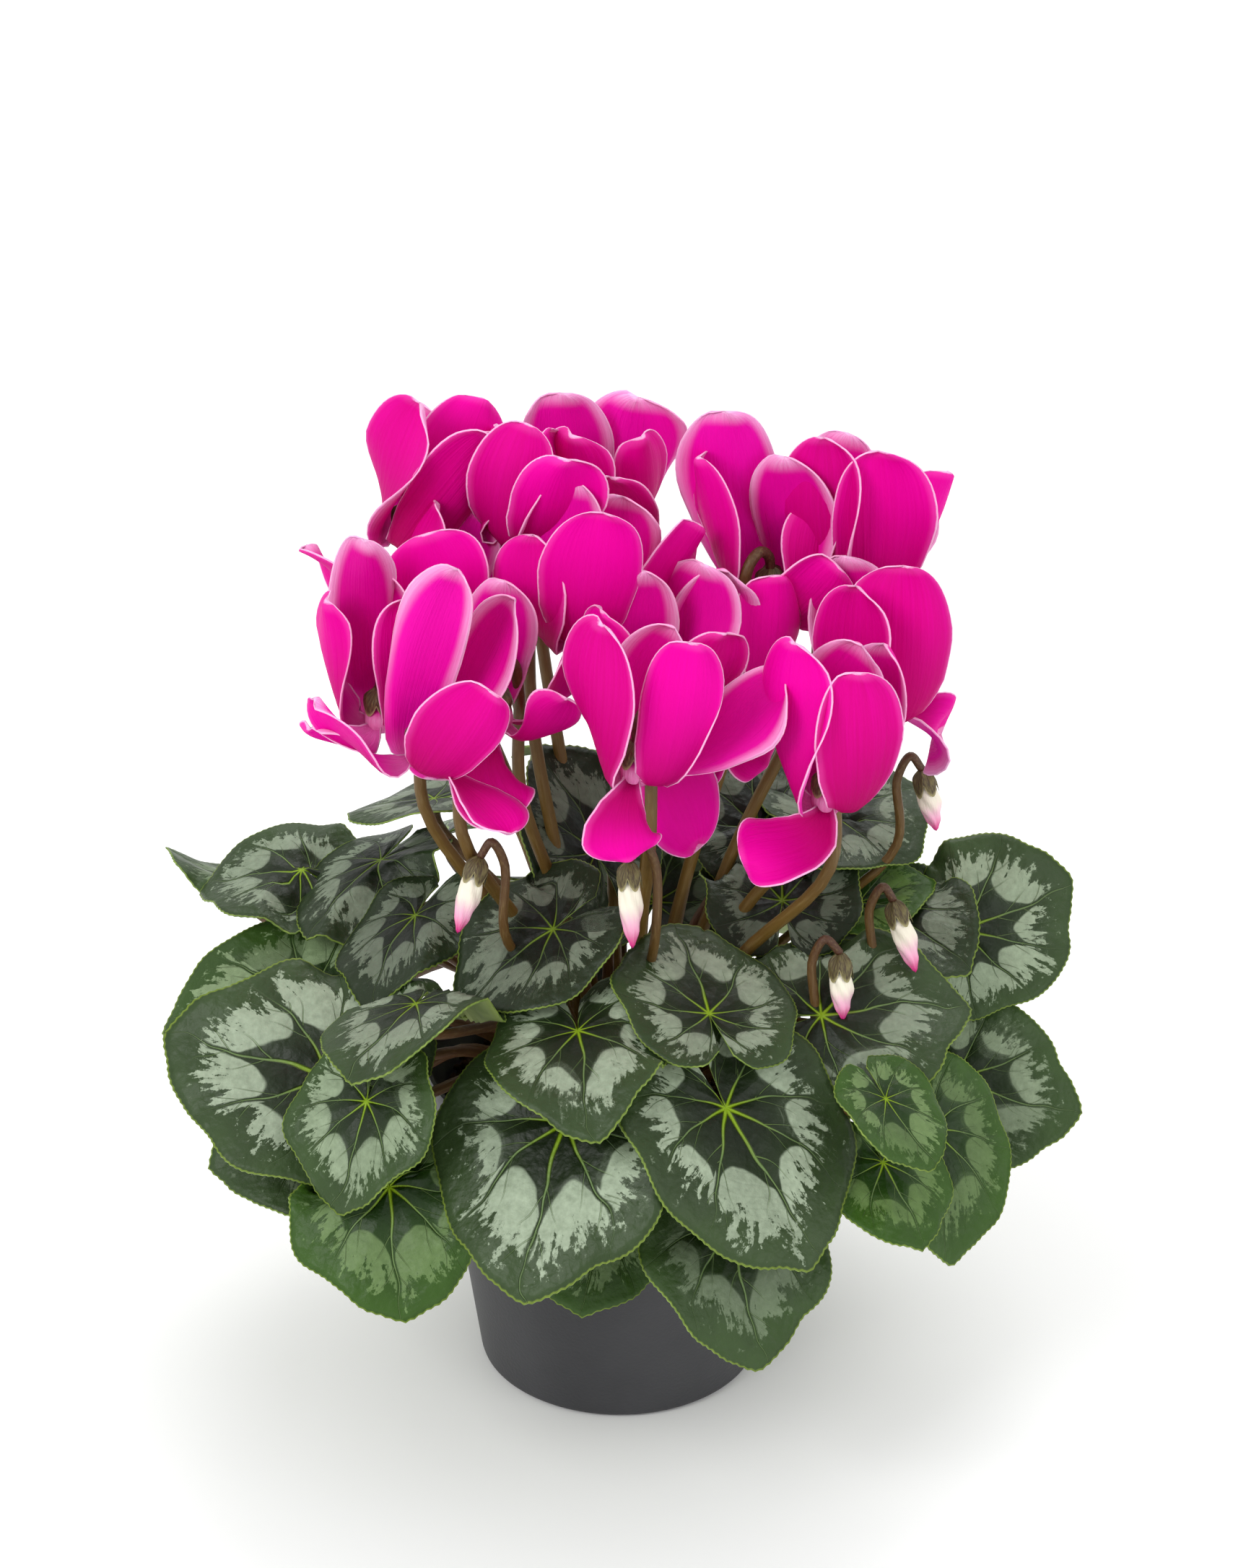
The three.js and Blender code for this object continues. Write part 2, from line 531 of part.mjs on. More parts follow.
// Whether two parts of a solid meet along an edge without being joined there
function pinched(solid) {
  const { numProp, vertProperties, triVerts } = solid.getMesh();
  const corner = (i) => vertProperties.slice(i * numProp, i * numProp + 3).join();
  const uses = new Map();
  triVerts.forEach((from, i) => {
    const to = triVerts[i % 3 === 2 ? i - 2 : i + 1];
    const edge = [corner(from), corner(to)].sort().join();
    uses.set(edge, (uses.get(edge) ?? 0) + 1);
  });
  return [...uses.values()].some((count) => count !== 2);
}

// A solid cut clear of its neighbours, less any scrap that this cuts off. The second cut takes
// out what the simplifying has moved into the neighbours that are finished.
function clearOf(solid, neighbours, finished) {
  const cut = without(solid, neighbours);
  let rest = null;
  for (const step of SIMPLIFY_STEPS) {
    const piece = largestOf(without(cut.simplify(step), finished));
    rest = largestOf(solidOf(geometryOf(piece)));
    const common = finished.reduce((sum, other) => sum + rest.intersect(other).volume(), 0);
    if (common < LEAST_OVERLAP && !pinched(rest)) break;
  }
  return rest;
}

// Inner radius of the pot's wall at a height
function insideRadius(z) {
  const body = lerp(BASE_RADIUS, BODY_RADIUS, Math.min(1, z / (POT_HEIGHT - RIM_HEIGHT)));
  return body - POT_WALL;
}

function potSolid() {
  const shoulder = POT_HEIGHT - RIM_HEIGHT;
  const profile = [
    [0, 0], [BASE_RADIUS - 1, 0], [BASE_RADIUS, 1],
    [BODY_RADIUS, shoulder], [RIM_RADIUS - 1.2, shoulder + 0.6], [RIM_RADIUS, POT_HEIGHT - 1],
    [RIM_RADIUS - 0.6, POT_HEIGHT], [RIM_RADIUS - POT_WALL, POT_HEIGHT],
    [RIM_RADIUS - POT_WALL - 1.2, shoulder + 2.5], [insideRadius(shoulder), shoulder + 0.5],
    [insideRadius(POT_FLOOR), POT_FLOOR], [0, POT_FLOOR],
  ];
  let pot = solidOf(turned(profile, POT_SIDES));
  for (let i = 0; i < DRAIN_HOLES; i++) {
    const a = 2 * Math.PI * (i + 0.5) / DRAIN_HOLES;
    const hole = new THREE.CylinderGeometry(DRAIN_RADIUS, DRAIN_RADIUS, POT_FLOOR + 4, 8)
      .rotateX(Math.PI / 2)
      .translate(DRAIN_RING * Math.cos(a), DRAIN_RING * Math.sin(a), POT_FLOOR / 2);
    pot = pot.subtract(solidOf(hole));
  }
  return pot;
}

// The soil: fills the pot, with a lumpy top and a hollow for the tuber
function soilSolid() {
  const bottomRadius = insideRadius(POT_FLOOR) - FIT - 0.4;
  const topRadius = insideRadius(SOIL_LEVEL) - FIT;
  const profile = [[0, POT_FLOOR + FIT], [bottomRadius, POT_FLOOR + FIT],
    [topRadius, SOIL_LEVEL], [topRadius * 0.72, SOIL_LEVEL], [topRadius * 0.45, SOIL_LEVEL],
    [0, SOIL_LEVEL]];
  const lumpy = moveCorners(turned(profile, 24), (x, y, z) => {
    const reach = Math.hypot(x, y) / topRadius;
    const lumps = z > SOIL_LEVEL - 1 && reach > 0.1 && reach < 0.9;
    const angle = Math.atan2(y, x);
    const lift = 0.9 * Math.sin(angle * 8 + reach * 9) + 0.6 * Math.sin(angle * 5 + reach * 20);
    return V(x, y, z + (lumps ? lift : 0));
  });
  return solidOf(lumpy).subtract(tuberSolid(FIT));
}

// Colours
const DARK_PLASTIC = { color: 0x3c3c3f, roughness: 0.55, metalness: 0 };
const EARTH = { color: 0x2b211b, roughness: 0.95, metalness: 0 };
const STALK = { color: 0x5a3b2c, roughness: 0.6, metalness: 0 };
const GREEN = { color: 0x4d6652, roughness: 0.5, metalness: 0 };
const MAGENTA = { color: 0xd10082, roughness: 0.5, metalness: 0 };
const BUD_PINK = { color: 0xe9b9cf, roughness: 0.5, metalness: 0 };

function meshOf(name, solid, look) {
  const geometry = geometryOf(solid);
  geometry.computeVertexNormals();
  const mesh = new THREE.Mesh(geometry, new THREE.MeshStandardMaterial(look));
  mesh.name = name;
  return mesh;
}

const stalks = stalkSolids(FIT);
const buds = BUDS.map((bud) => budSolid(bud));
const blooms = [];
BLOOMS.forEach((bloom, i) => {
  const before = BLOOMS.slice(0, i).map((other) => bloomSolid(other, SHEET_FIT));
  blooms.push(clearOf(bloomSolid(bloom), [...stalks, ...before], blooms));
});
const blades = [];
BLADES.forEach((blade, i) => {
  const before = BLADES.slice(0, i).map((other) => bladeSolid(other, SHEET_FIT));
  blades.push(clearOf(bladeSolid(blade), [...stalks, ...buds, ...before], blades));
});
const crown = largestOf(Manifold.union([tuberSolid(0), ...stalkSolids(0)]).simplify(0.15));

const group = new THREE.Group();
group.name = 'potted_cyclamen';
group.add(meshOf('pot', potSolid(), DARK_PLASTIC));
group.add(meshOf('soil', soilSolid(), EARTH));
group.add(meshOf('crown', crown, STALK));
BLOOMS.forEach((bloom, i) => group.add(meshOf(bloom.name, blooms[i], MAGENTA)));
BUDS.forEach((bud, i) => group.add(meshOf(bud.name, buds[i], BUD_PINK)));
BLADES.forEach((blade, i) => group.add(meshOf(blade.name, blades[i], GREEN)));

export default group;
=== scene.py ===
import math
import random

import bmesh
import bpy
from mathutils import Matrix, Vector, noise


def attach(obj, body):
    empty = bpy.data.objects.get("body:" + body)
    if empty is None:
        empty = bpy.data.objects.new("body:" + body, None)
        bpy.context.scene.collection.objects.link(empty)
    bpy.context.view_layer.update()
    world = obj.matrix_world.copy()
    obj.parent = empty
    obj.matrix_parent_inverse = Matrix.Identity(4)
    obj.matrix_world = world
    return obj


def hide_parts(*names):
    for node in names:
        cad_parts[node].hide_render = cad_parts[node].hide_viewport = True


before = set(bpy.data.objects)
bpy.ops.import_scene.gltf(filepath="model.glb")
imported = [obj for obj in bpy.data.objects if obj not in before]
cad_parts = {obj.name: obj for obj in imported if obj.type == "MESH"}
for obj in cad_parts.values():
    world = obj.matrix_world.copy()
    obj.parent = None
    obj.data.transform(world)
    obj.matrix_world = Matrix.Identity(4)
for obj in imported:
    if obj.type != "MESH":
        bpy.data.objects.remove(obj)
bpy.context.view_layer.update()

MM = 0.001
MERGE_DISTANCE = 0.001 * MM
NOISE_SEED = 11
CRUMB_SEED = 7

# Camera
CAMERA_LENS = 100
CAMERA_SENSOR = 36
CAMERA_PLACE = (-1, -1236.1, 872.3)
CAMERA_DIP = 28

# Pot
POT_HEIGHT = 115
BASE_RADIUS = 47.3
BODY_RADIUS = 61.2
RIM_RADIUS = 65
RIM_HEIGHT = 14
POT_WALL = 1.8
POT_FLOOR = 2.4
POT_STEPS = 128
DRAIN_HOLES = 6
DRAIN_RADIUS = 4.5
DRAIN_RING = 30
CREASE_ANGLE = 50

# Soil and tuber
SOIL_LEVEL = 99
SOIL_RELIEF = 1.6
SOIL_FIT = 0.35
CRUMBS = 420
TUBER_RADIUS = 27
TUBER_HALF_HEIGHT = 16
TUBER_CENTRE = 94
TUBER_LUMPS = 0.04

# Stalks
LEAF_STALK_RADIUS = 1.7
LEAF_STALK_STEPS = 24
LEAF_STALK_SIDES = 10
LEAF_STALK_SPREAD = 58
LEAF_STALK_NECK = 9
BLOOM_STALK_RADIUS = 1.9
BLOOM_STALK_STEPS = 42
BLOOM_STALK_SIDES = 12
BUD_STALK_RADIUS = 1.5
BUD_STALK_STEPS = 34
BUD_STALK_SIDES = 10
STALK_ROOT_Z = 103
STALK_FOOT_SWELL = 1.15

# Blades: angles are counted from the tip, and the sinus is the notch where the lobes meet.
# A blade pushes those under it clear, down to the push depth and out to the push edge, where
# 1 is its own edge.
BLADE_THICKNESS = 0.55
BLADE_CLEARANCE = 1.8
BLADE_PUSH_DEPTH = 16
BLADE_PUSH_EDGE = 1.3
BLADE_RINGS = 13
TEETH_PER_LENGTH = 2.2
TOOTH_DEPTH = 0.45
SINUS = 172
LOW_LEAF = 110
HIGH_LEAF = 200

# Veins: degrees between two main veins, and shares of the blade's length
VEIN_SPACING = 44
VEIN_WANDER = 34
VEIN_WIDTH = 0.017
VEIN_THINNING = 0.012
SIDE_VEIN_WIDTH = 0.007
SIDE_VEIN_STEP = 0.24

# Flowers
PETAL_THICKNESS = 0.5
PETAL_ROWS = 20
PETAL_COLUMNS = 18
PETAL_OVERLAP = 2.6
PETAL_RUFFLE = 2.0
PETAL_TURNS = [46, 113, 180, 247, 314]
PETAL_TWIST = 54
ROUND_END = 0.6
CURL_START = 0.4
TUBE_RADIUS = 4.6
TUBE_TOP = 7
SEPALS = 5
CALYX_TOP = 12.5
CALYX_RADIUS = 5.0
CALYX_LENGTH = 9

# Buds
BUD_TWIST = 2.6
BUD_FOLDS = 5
BUD_FOLD_DEPTH = 0.07
BUD_CALYX_TOP = 5.5
BUD_CALYX_RADIUS = 3.9
BUD_CALYX_LENGTH = 9.5


def lerp(a, b, t):
    return a + (b - a) * t


def part_way(low, high, x):
    """How far x is on its way from low to high, kept from 0 to 1."""
    return min(1, max(0, (x - low) / (high - low)))


def smooth(low, high, x):
    t = part_way(low, high, x)
    return t * t * (3 - 2 * t)


def around(turn, reach, height=0):
    """The point at an angle and a distance round an upright axis, at a height on it."""
    return Vector((reach * math.cos(turn), reach * math.sin(turn), height))


def eased(table, x):
    """A value read from a table of (position, value) pairs, eased between them."""
    for (x0, v0), (x1, v1) in zip(table, table[1:]):
        if x <= x1:
            t = (x - x0) / (x1 - x0)
            return lerp(v0, v1, (smooth(0, 1, t) + t) / 2)
    return table[-1][1]


def along_curve(points, count):
    """Points spaced along a centripetal curve through the given ones."""
    path = []
    for k in range(count + 1):
        position = (len(points) - 1) * k / count
        i = min(int(position), len(points) - 2)
        w = position - i
        p1, p2 = points[i], points[i + 1]
        p0 = points[i - 1] if i else p1 * 2 - p2
        p3 = points[i + 2] if i + 2 < len(points) else p2 * 2 - p1
        d0 = math.sqrt((p1 - p0).length)
        d1 = math.sqrt((p2 - p1).length)
        d2 = math.sqrt((p3 - p2).length)
        leave = ((p1 - p0) / d0 - (p2 - p0) / (d0 + d1) + (p2 - p1) / d1) * d1
        arrive = ((p2 - p1) / d1 - (p3 - p1) / (d1 + d2) + (p3 - p2) / d2) * d1
        w2 = w * w
        w3 = w2 * w
        path.append(p1 * (2 * w3 - 3 * w2 + 1) + leave * (w3 - 2 * w2 + w)
                    + p2 * (3 * w2 - 2 * w3) + arrive * (w3 - w2))
    return path


# Camera
camera_data = bpy.data.cameras.new("camera")
camera_data.lens = CAMERA_LENS
camera_data.sensor_fit = "VERTICAL"
camera_data.sensor_height = CAMERA_SENSOR
camera = bpy.data.objects.new("camera", camera_data)
bpy.context.scene.collection.objects.link(camera)
camera.location = Vector(CAMERA_PLACE) * MM
camera.rotation_euler = (math.radians(90 - CAMERA_DIP), 0, 0)
bpy.context.scene.camera = camera
bpy.context.scene.view_settings.view_transform = "Standard"


# Finishes
class Wire:
    """A shader socket that can be added, multiplied and so on like a number."""

    def __init__(self, finish, node, output=0):
        self.finish = finish
        self.node = node
        self.socket = node.outputs[output] if node.outputs else None

    def out(self, output):
        return Wire(self.finish, self.node, output)

    def maths(self, operation, *values):
        settings = {"operation": operation}
        return self.finish.node("ShaderNodeMath", settings, dict(enumerate(values)))

    def __add__(self, other):
        return self.maths("ADD", self, other)

    def __radd__(self, other):
        return self.maths("ADD", other, self)

    def __sub__(self, other):
        return self.maths("SUBTRACT", self, other)

    def __rsub__(self, other):
        return self.maths("SUBTRACT", other, self)

    def __mul__(self, other):
        return self.maths("MULTIPLY", self, other)

    def __rmul__(self, other):
        return self.maths("MULTIPLY", other, self)

    def __truediv__(self, other):
        return self.maths("DIVIDE", self, other)

    def __pow__(self, power):
        return self.maths("POWER", self, power)

    def __abs__(self):
        return self.maths("ABSOLUTE", self)

    def floor(self):
        return self.maths("FLOOR", self)

    def sine(self):
        return self.maths("SINE", self)

    def cosine(self):
        return self.maths("COSINE", self)

    def least(self, other):
        return self.maths("MINIMUM", self, other)

    def most(self, other):
        return self.maths("MAXIMUM", self, other)

    def folded(self, spacing):
        """Distance to the nearest multiple of twice the spacing."""
        return self.maths("PINGPONG", self, spacing)

    def ramp(self, low, high):
        """0 at low, 1 at high, smooth between; low may be the larger one."""
        settings = {"interpolation_type": "SMOOTHSTEP"}
        inputs = {"Value": self, "From Min": low, "From Max": high}
        return self.finish.node("ShaderNodeMapRange", settings, inputs)


class Finish:
    """One material and its nodes."""

    def __init__(self, name):
        self.material = bpy.data.materials.new(name)
        self.material.use_nodes = True
        self.tree = self.material.node_tree
        self.tree.nodes.clear()

    def node(self, kind, settings=None, inputs=None, output=0):
        node = self.tree.nodes.new(kind)
        for name, value in (settings or {}).items():
            setattr(node, name, value)
        for key, value in (inputs or {}).items():
            if isinstance(value, Wire):
                self.tree.links.new(value.socket, node.inputs[key])
            else:
                node.inputs[key].default_value = value
        return Wire(self, node, output)

    def where(self):
        return self.node("ShaderNodeTexCoord", output="Object")

    def surface_place(self):
        """The piece's own two surface coordinates, each from 0 to 1."""
        place = self.node("ShaderNodeUVMap", {"uv_map": "surface"})
        parts = self.node("ShaderNodeSeparateXYZ", inputs={0: place})
        return parts, parts.out(1)

    def trait(self, name):
        """The three numbers that the points of a piece carry in an attribute."""
        carried = self.node("ShaderNodeAttribute", {"attribute_name": name})
        parts = self.node("ShaderNodeSeparateXYZ", inputs={0: carried.out("Vector")})
        return parts, parts.out(1), parts.out(2)

    def place(self, x, y, z):
        return self.node("ShaderNodeCombineXYZ", inputs={0: x, 1: y, 2: z})

    def noise(self, vector, scale, detail=2.0, roughness=0.5):
        inputs = {"Vector": vector, "Scale": scale, "Detail": detail, "Roughness": roughness}
        return self.node("ShaderNodeTexNoise", inputs=inputs)

    def chance(self, x, y):
        """A random number from 0 to 1 for each pair of values."""
        spot = self.place(x, y, 0)
        return self.node("ShaderNodeTexWhiteNoise", inputs={"Vector": spot})

    def mix(self, factor, first, second):
        inputs = {0: factor, 6: first, 7: second}
        return self.node("ShaderNodeMix", {"data_type": "RGBA"}, inputs, output=2)

    def bump(self, height, distance):
        inputs = {"Height": height, "Distance": distance * MM, "Strength": 1.0}
        return self.node("ShaderNodeBump", inputs=inputs)

    def shade(self, inputs):
        shader = self.node("ShaderNodeBsdfPrincipled", inputs=inputs)
        self.node("ShaderNodeOutputMaterial", inputs={"Surface": shader})
        return self.material


def colour(red, green, blue):
    """A linear colour from the 0 to 255 values of a screen."""
    return tuple((v / 255) ** 2.2 for v in (red, green, blue)) + (1,)


def blade_angle(finish, u, where):
    """Degrees from the tip of a blade, a little uneven, so that the veins aren't straight."""
    return (1 - u * 2) * SINUS + (finish.noise(where, 30, 2) - 0.5) * VEIN_WANDER


def side_vein(along, across, start, slope):
    """A thin vein that leaves a main vein at start and strays from it by slope."""
    past = along - start
    line = abs(across - past * slope).ramp(SIDE_VEIN_WIDTH, SIDE_VEIN_WIDTH * 0.2)
    return line * past.ramp(0.0, 0.02)


def vein_masks(finish, angle, reach, seed):
    """How much of a vein is under a point of a blade, and where it lies between two veins."""
    leaning = abs(angle) / (1 - reach * 0.16)
    off = leaning.folded(VEIN_SPACING / 2)
    chance = finish.chance((angle / VEIN_SPACING).floor(), seed)
    turn = off * math.radians(1)
    along = reach * turn.cosine()
    across = reach * turn.sine()
    width = VEIN_WIDTH - reach * VEIN_THINNING
    midrib = leaning.ramp(VEIN_SPACING / 2, VEIN_SPACING / 2 - 1)
    fading = reach.ramp(0.50, 0.80) * (0.85 - midrib * 0.6)
    stem = across.ramp(width, width * 0.3) * (1 - fading)
    start = 0.22 + chance * 0.16
    lower = side_vein(along, across, start, 0.55)
    upper = side_vein(along, across, start + SIDE_VEIN_STEP, 0.60)
    fork = lower.most(upper) * across.ramp(0.16, 0.05) * 0.75
    return stem.most(fork), off, across, chance


def silver_blotches(finish, angle, reach, off, across, chance, seed):
    """Silver between the veins: rounded towards the heart, ragged and specked outwards."""
    lace = finish.noise(finish.where(), 260, 5, 0.7)
    middle = (1 - off / (VEIN_SPACING / 2)).least(0.98)
    arc = (1 - middle * middle) ** 0.5
    inner = 0.65 - chance * 0.10 - arc * 0.22
    outer = 0.66 + chance * 0.14
    streaks = finish.noise(finish.place(angle * 0.22, reach * 4, seed * 30), 1.0, 5, 0.65)
    ragged = (outer - reach) * 3.2 + (streaks - 0.5) * 2.8 + (lace - 0.5) * 1.8
    kept = finish.chance(seed, chance).ramp(0.02, 0.12)
    channel = across.ramp(0.012, 0.022 + (lace - 0.4) * 0.05)
    blotch = (reach - inner).ramp(0.0, 0.03) * ragged.ramp(0.0, 0.16) * kept * channel
    specks = lace.ramp(0.60, 0.66) * (reach - inner).ramp(0.1, 0.2) * reach.ramp(0.94, 0.84)
    return blotch.most(specks * 0.8)


def blade_top():
    finish = Finish("blade_top")
    u, v = finish.surface_place()
    silver_share, tone_and_painted_light, seed = finish.trait("look")
    where = finish.where()
    fine = finish.noise(where, 420, 3, 0.6)
    angle = blade_angle(finish, u, where)
    vein, off, across, chance = vein_masks(finish, angle, v, seed)
    reach = v + (finish.noise(where, 80, 2) - 0.5) * 0.12
    silver = silver_blotches(finish, angle, reach, off, across, chance, seed)
    silver = (silver * silver_share * (0.50 + fine * 0.7)).least(1)

    # Painted light for the whole blade: above 0 it is painted a brighter yellow-green, as if lit
    # through from behind, and below 0 a deeper green, as painted shade. The greens below come in
    # lit and shaded copies.
    painted_backlight = tone_and_painted_light.most(0)
    painted_shade = tone_and_painted_light.ramp(0, -1)
    heart_green = finish.mix(painted_backlight, colour(24, 34, 17), colour(28, 52, 11))
    heart_green = finish.mix(painted_shade, heart_green, colour(11, 17, 9))
    outer_green = finish.mix(painted_backlight, colour(60, 79, 46), colour(59, 92, 27))
    outer_green = finish.mix(painted_shade, outer_green, colour(33, 45, 26))
    spread = reach.ramp(0.10, 1.0) * (0.35 + finish.noise(where, 55, 3) * 0.8)
    green = finish.mix(spread, heart_green, outer_green)
    # The silver's copy for a blade painted as lit through from behind is greener and darker.
    silvery = finish.mix(painted_backlight, colour(160, 175, 150), colour(120, 150, 84))
    green = finish.mix(silver, green, silvery)
    pale = finish.mix(v.ramp(0.02, 0.40), colour(132, 164, 24), colour(112, 138, 84))
    # Veins are painted dimmer on a blade painted in shade.
    green = finish.mix(vein * (0.92 - v * 0.45) * (1 - painted_shade * 0.55), green, pale)
    edge = (v + (fine - 0.5) * 0.012).ramp(0.980, 0.994)
    green = finish.mix(edge * 0.75, green, colour(124, 146, 56))

    quilt = finish.noise(where, 150, 2)
    height = vein * -0.9 + fine * 0.35 + quilt * 1.4 + off * 0.02
    return finish.shade({
        "Base Color": green,
        "Roughness": 0.44 + silver * 0.10,
        "Specular IOR Level": 0.27,
        "Normal": finish.bump(height, 0.9),
    })


def blade_under():
    finish = Finish("blade_under")
    u, v = finish.surface_place()
    where = finish.where()
    vein = vein_masks(finish, blade_angle(finish, u, where), v, 0.5)[0]
    patch = finish.noise(where, 70, 4)
    green = finish.mix(patch.ramp(0.35, 0.7), colour(104, 122, 64), colour(140, 156, 92))
    green = finish.mix(vein * 0.7, green, colour(168, 182, 116))
    return finish.shade({
        "Base Color": green,
        "Roughness": 0.55,
        "Specular IOR Level": 0.35,
        "Normal": finish.bump(vein + finish.noise(where, 300, 3) * 0.4, 0.6),
    })


def blade_edge():
    finish = Finish("blade_edge")
    grain = finish.noise(finish.where(), 500, 2)
    green = finish.mix(grain.ramp(0.3, 0.7), colour(92, 118, 48), colour(134, 158, 72))
    return finish.shade({"Base Color": green, "Roughness": 0.55})


def pale_margin(finish, edge, pink):
    """The thin pale line along the margin of a petal, a little ragged inwards."""
    ragged = edge + (finish.noise(finish.where(), 900, 2) - 0.5) * 0.35
    return finish.mix(ragged.ramp(0.65, 0.25) * 0.80, pink, colour(255, 196, 236))


def petal_front():
    finish = Finish("petal_front")
    u, v = finish.surface_place()
    edge, tone_and_painted_light, seed = finish.trait("look")
    streaks = finish.noise(finish.place(u * 26, v * 1.6, seed * 7), 1.0, 4, 0.6)
    soft = finish.noise(finish.where(), 60, 2)
    pink = finish.mix(tone_and_painted_light, colour(204, 0, 126), colour(226, 0, 152))
    pink = finish.mix(streaks.ramp(0.35, 0.75) * 0.22, pink, colour(236, 0, 168))
    # Painted shade: each petal is darkened towards its base, where it is shaded.
    pink = finish.mix(v.ramp(0.66, 0.0) * 0.80, pink, colour(150, 0, 68))
    pink = finish.mix(edge.ramp(3.2, 0.6) * 0.20, pink, colour(252, 104, 200))
    return finish.shade({
        "Base Color": pale_margin(finish, edge, pink),
        "Roughness": 0.50 + soft * 0.10,
        "Specular IOR Level": 0.05,
        "Normal": finish.bump(streaks, 0.35),
    })


def petal_back():
    finish = Finish("petal_back")
    u, v = finish.surface_place()
    edge, tone_and_painted_light, seed = finish.trait("look")
    streaks = finish.noise(finish.place(u * 30, v * 1.4, seed * 7), 1.0, 4, 0.65)
    pink = finish.mix(tone_and_painted_light, colour(212, 6, 142), colour(232, 14, 166))
    pale = edge.ramp(5.5, 0.4) * v.ramp(0.15, 0.45) * 0.62 + v.ramp(0.22, 0.02) * 0.25
    pink = finish.mix((pale * (0.25 + streaks * 1.4)).least(1), pink, colour(250, 196, 236))
    return finish.shade({
        "Base Color": pale_margin(finish, edge, pink),
        "Roughness": 0.55,
        "Specular IOR Level": 0.08,
        "Normal": finish.bump(streaks, 0.5),
    })


def petal_edge():
    finish = Finish("petal_edge")
    grain = finish.noise(finish.where(), 400, 2)
    pale = finish.mix(grain, colour(244, 140, 204), colour(252, 200, 230))
    return finish.shade({"Base Color": pale, "Roughness": 0.5})


def stalk_skin(name, low, high):
    finish = Finish(name)
    u, v = finish.surface_place()
    where = finish.where()
    grain = finish.noise(finish.place(u * 12, v * 30, 0), 1.0, 4, 0.6)
    patch = finish.noise(where, 40, 2)
    skin = finish.mix((v + (patch - 0.5) * 0.7).ramp(0.1, 0.95), low, high)
    skin = finish.mix(grain.ramp(0.45, 0.8) * 0.35, skin, colour(150, 130, 84))
    return finish.shade({
        "Base Color": skin,
        "Roughness": 0.48,
        "Specular IOR Level": 0.4,
        "Normal": finish.bump(grain + finish.noise(where, 500, 2) * 0.5, 0.3),
    })


def bud_skin():
    finish = Finish("bud_skin")
    u, v = finish.surface_place()
    streaks = finish.noise(finish.place(u * 14 + v * 5, v * 1.2, 0), 1.0, 4, 0.6)
    along = v + (streaks - 0.5) * 0.35
    skin = finish.mix(along.ramp(0.30, 0.72), colour(240, 234, 214), colour(244, 176, 206))
    skin = finish.mix(along.ramp(0.62, 1.0), skin, colour(226, 30, 134))
    return finish.shade({
        "Base Color": skin,
        "Roughness": 0.42,
        "Normal": finish.bump(streaks, 0.5),
    })


def sepal_skin():
    finish = Finish("sepal_skin")
    u, v = finish.surface_place()
    grain = finish.noise(finish.place(u * 40, v * 3, 0), 1.0, 3, 0.6)
    skin = finish.mix(grain.ramp(0.35, 0.7), colour(66, 52, 34), colour(112, 104, 62))
    skin = finish.mix(v.ramp(0.82, 1.0) * 0.7, skin, colour(176, 168, 118))
    return finish.shade({
        "Base Color": skin,
        "Roughness": 0.55,
        "Normal": finish.bump(grain, 0.4),
    })


def pot_plastic():
    finish = Finish("pot_plastic")
    where = finish.where()
    cloud = finish.noise(where, 22, 3)
    grain = finish.noise(where, 900, 2)
    grey = finish.mix(cloud.ramp(0.3, 0.7), colour(50, 50, 53), colour(60, 60, 63))
    return finish.shade({
        "Base Color": grey,
        "Roughness": 0.46 + cloud * 0.12,
        "Specular IOR Level": 0.45,
        "Normal": finish.bump(grain, 0.12),
    })


def earth():
    finish = Finish("earth")
    where = finish.where()
    clod = finish.noise(where, 220, 5, 0.7)
    fibre = finish.noise(where, 900, 3)
    brown = finish.mix(clod.ramp(0.3, 0.7), colour(30, 22, 17), colour(74, 56, 42))
    brown = finish.mix(fibre.ramp(0.66, 0.74) * 0.6, brown, colour(128, 104, 76))
    return finish.shade({
        "Base Color": brown,
        "Roughness": 0.95,
        "Specular IOR Level": 0.2,
        "Normal": finish.bump(clod + fibre * 0.3, 1.8),
    })


def cork():
    finish = Finish("cork")
    where = finish.where()
    clod = finish.noise(where, 130, 5, 0.7)
    brown = finish.mix(clod.ramp(0.3, 0.7), colour(58, 40, 28), colour(112, 86, 60))
    return finish.shade({
        "Base Color": brown,
        "Roughness": 0.85,
        "Normal": finish.bump(clod, 1.5),
    })


BLADE_TOP = blade_top()
BLADE_UNDER = blade_under()
BLADE_EDGE = blade_edge()
PETAL_FRONT = petal_front()
PETAL_BACK = petal_back()
PETAL_EDGE = petal_edge()
LEAF_STALK = stalk_skin("leaf_stalk", colour(98, 64, 38), colour(76, 58, 32))
BLOOM_STALK = stalk_skin("bloom_stalk", colour(104, 80, 34), colour(74, 46, 32))
BUD_SKIN = bud_skin()
SEPAL_SKIN = sepal_skin()
POT_PLASTIC = pot_plastic()
EARTH = earth()
CORK = cork()


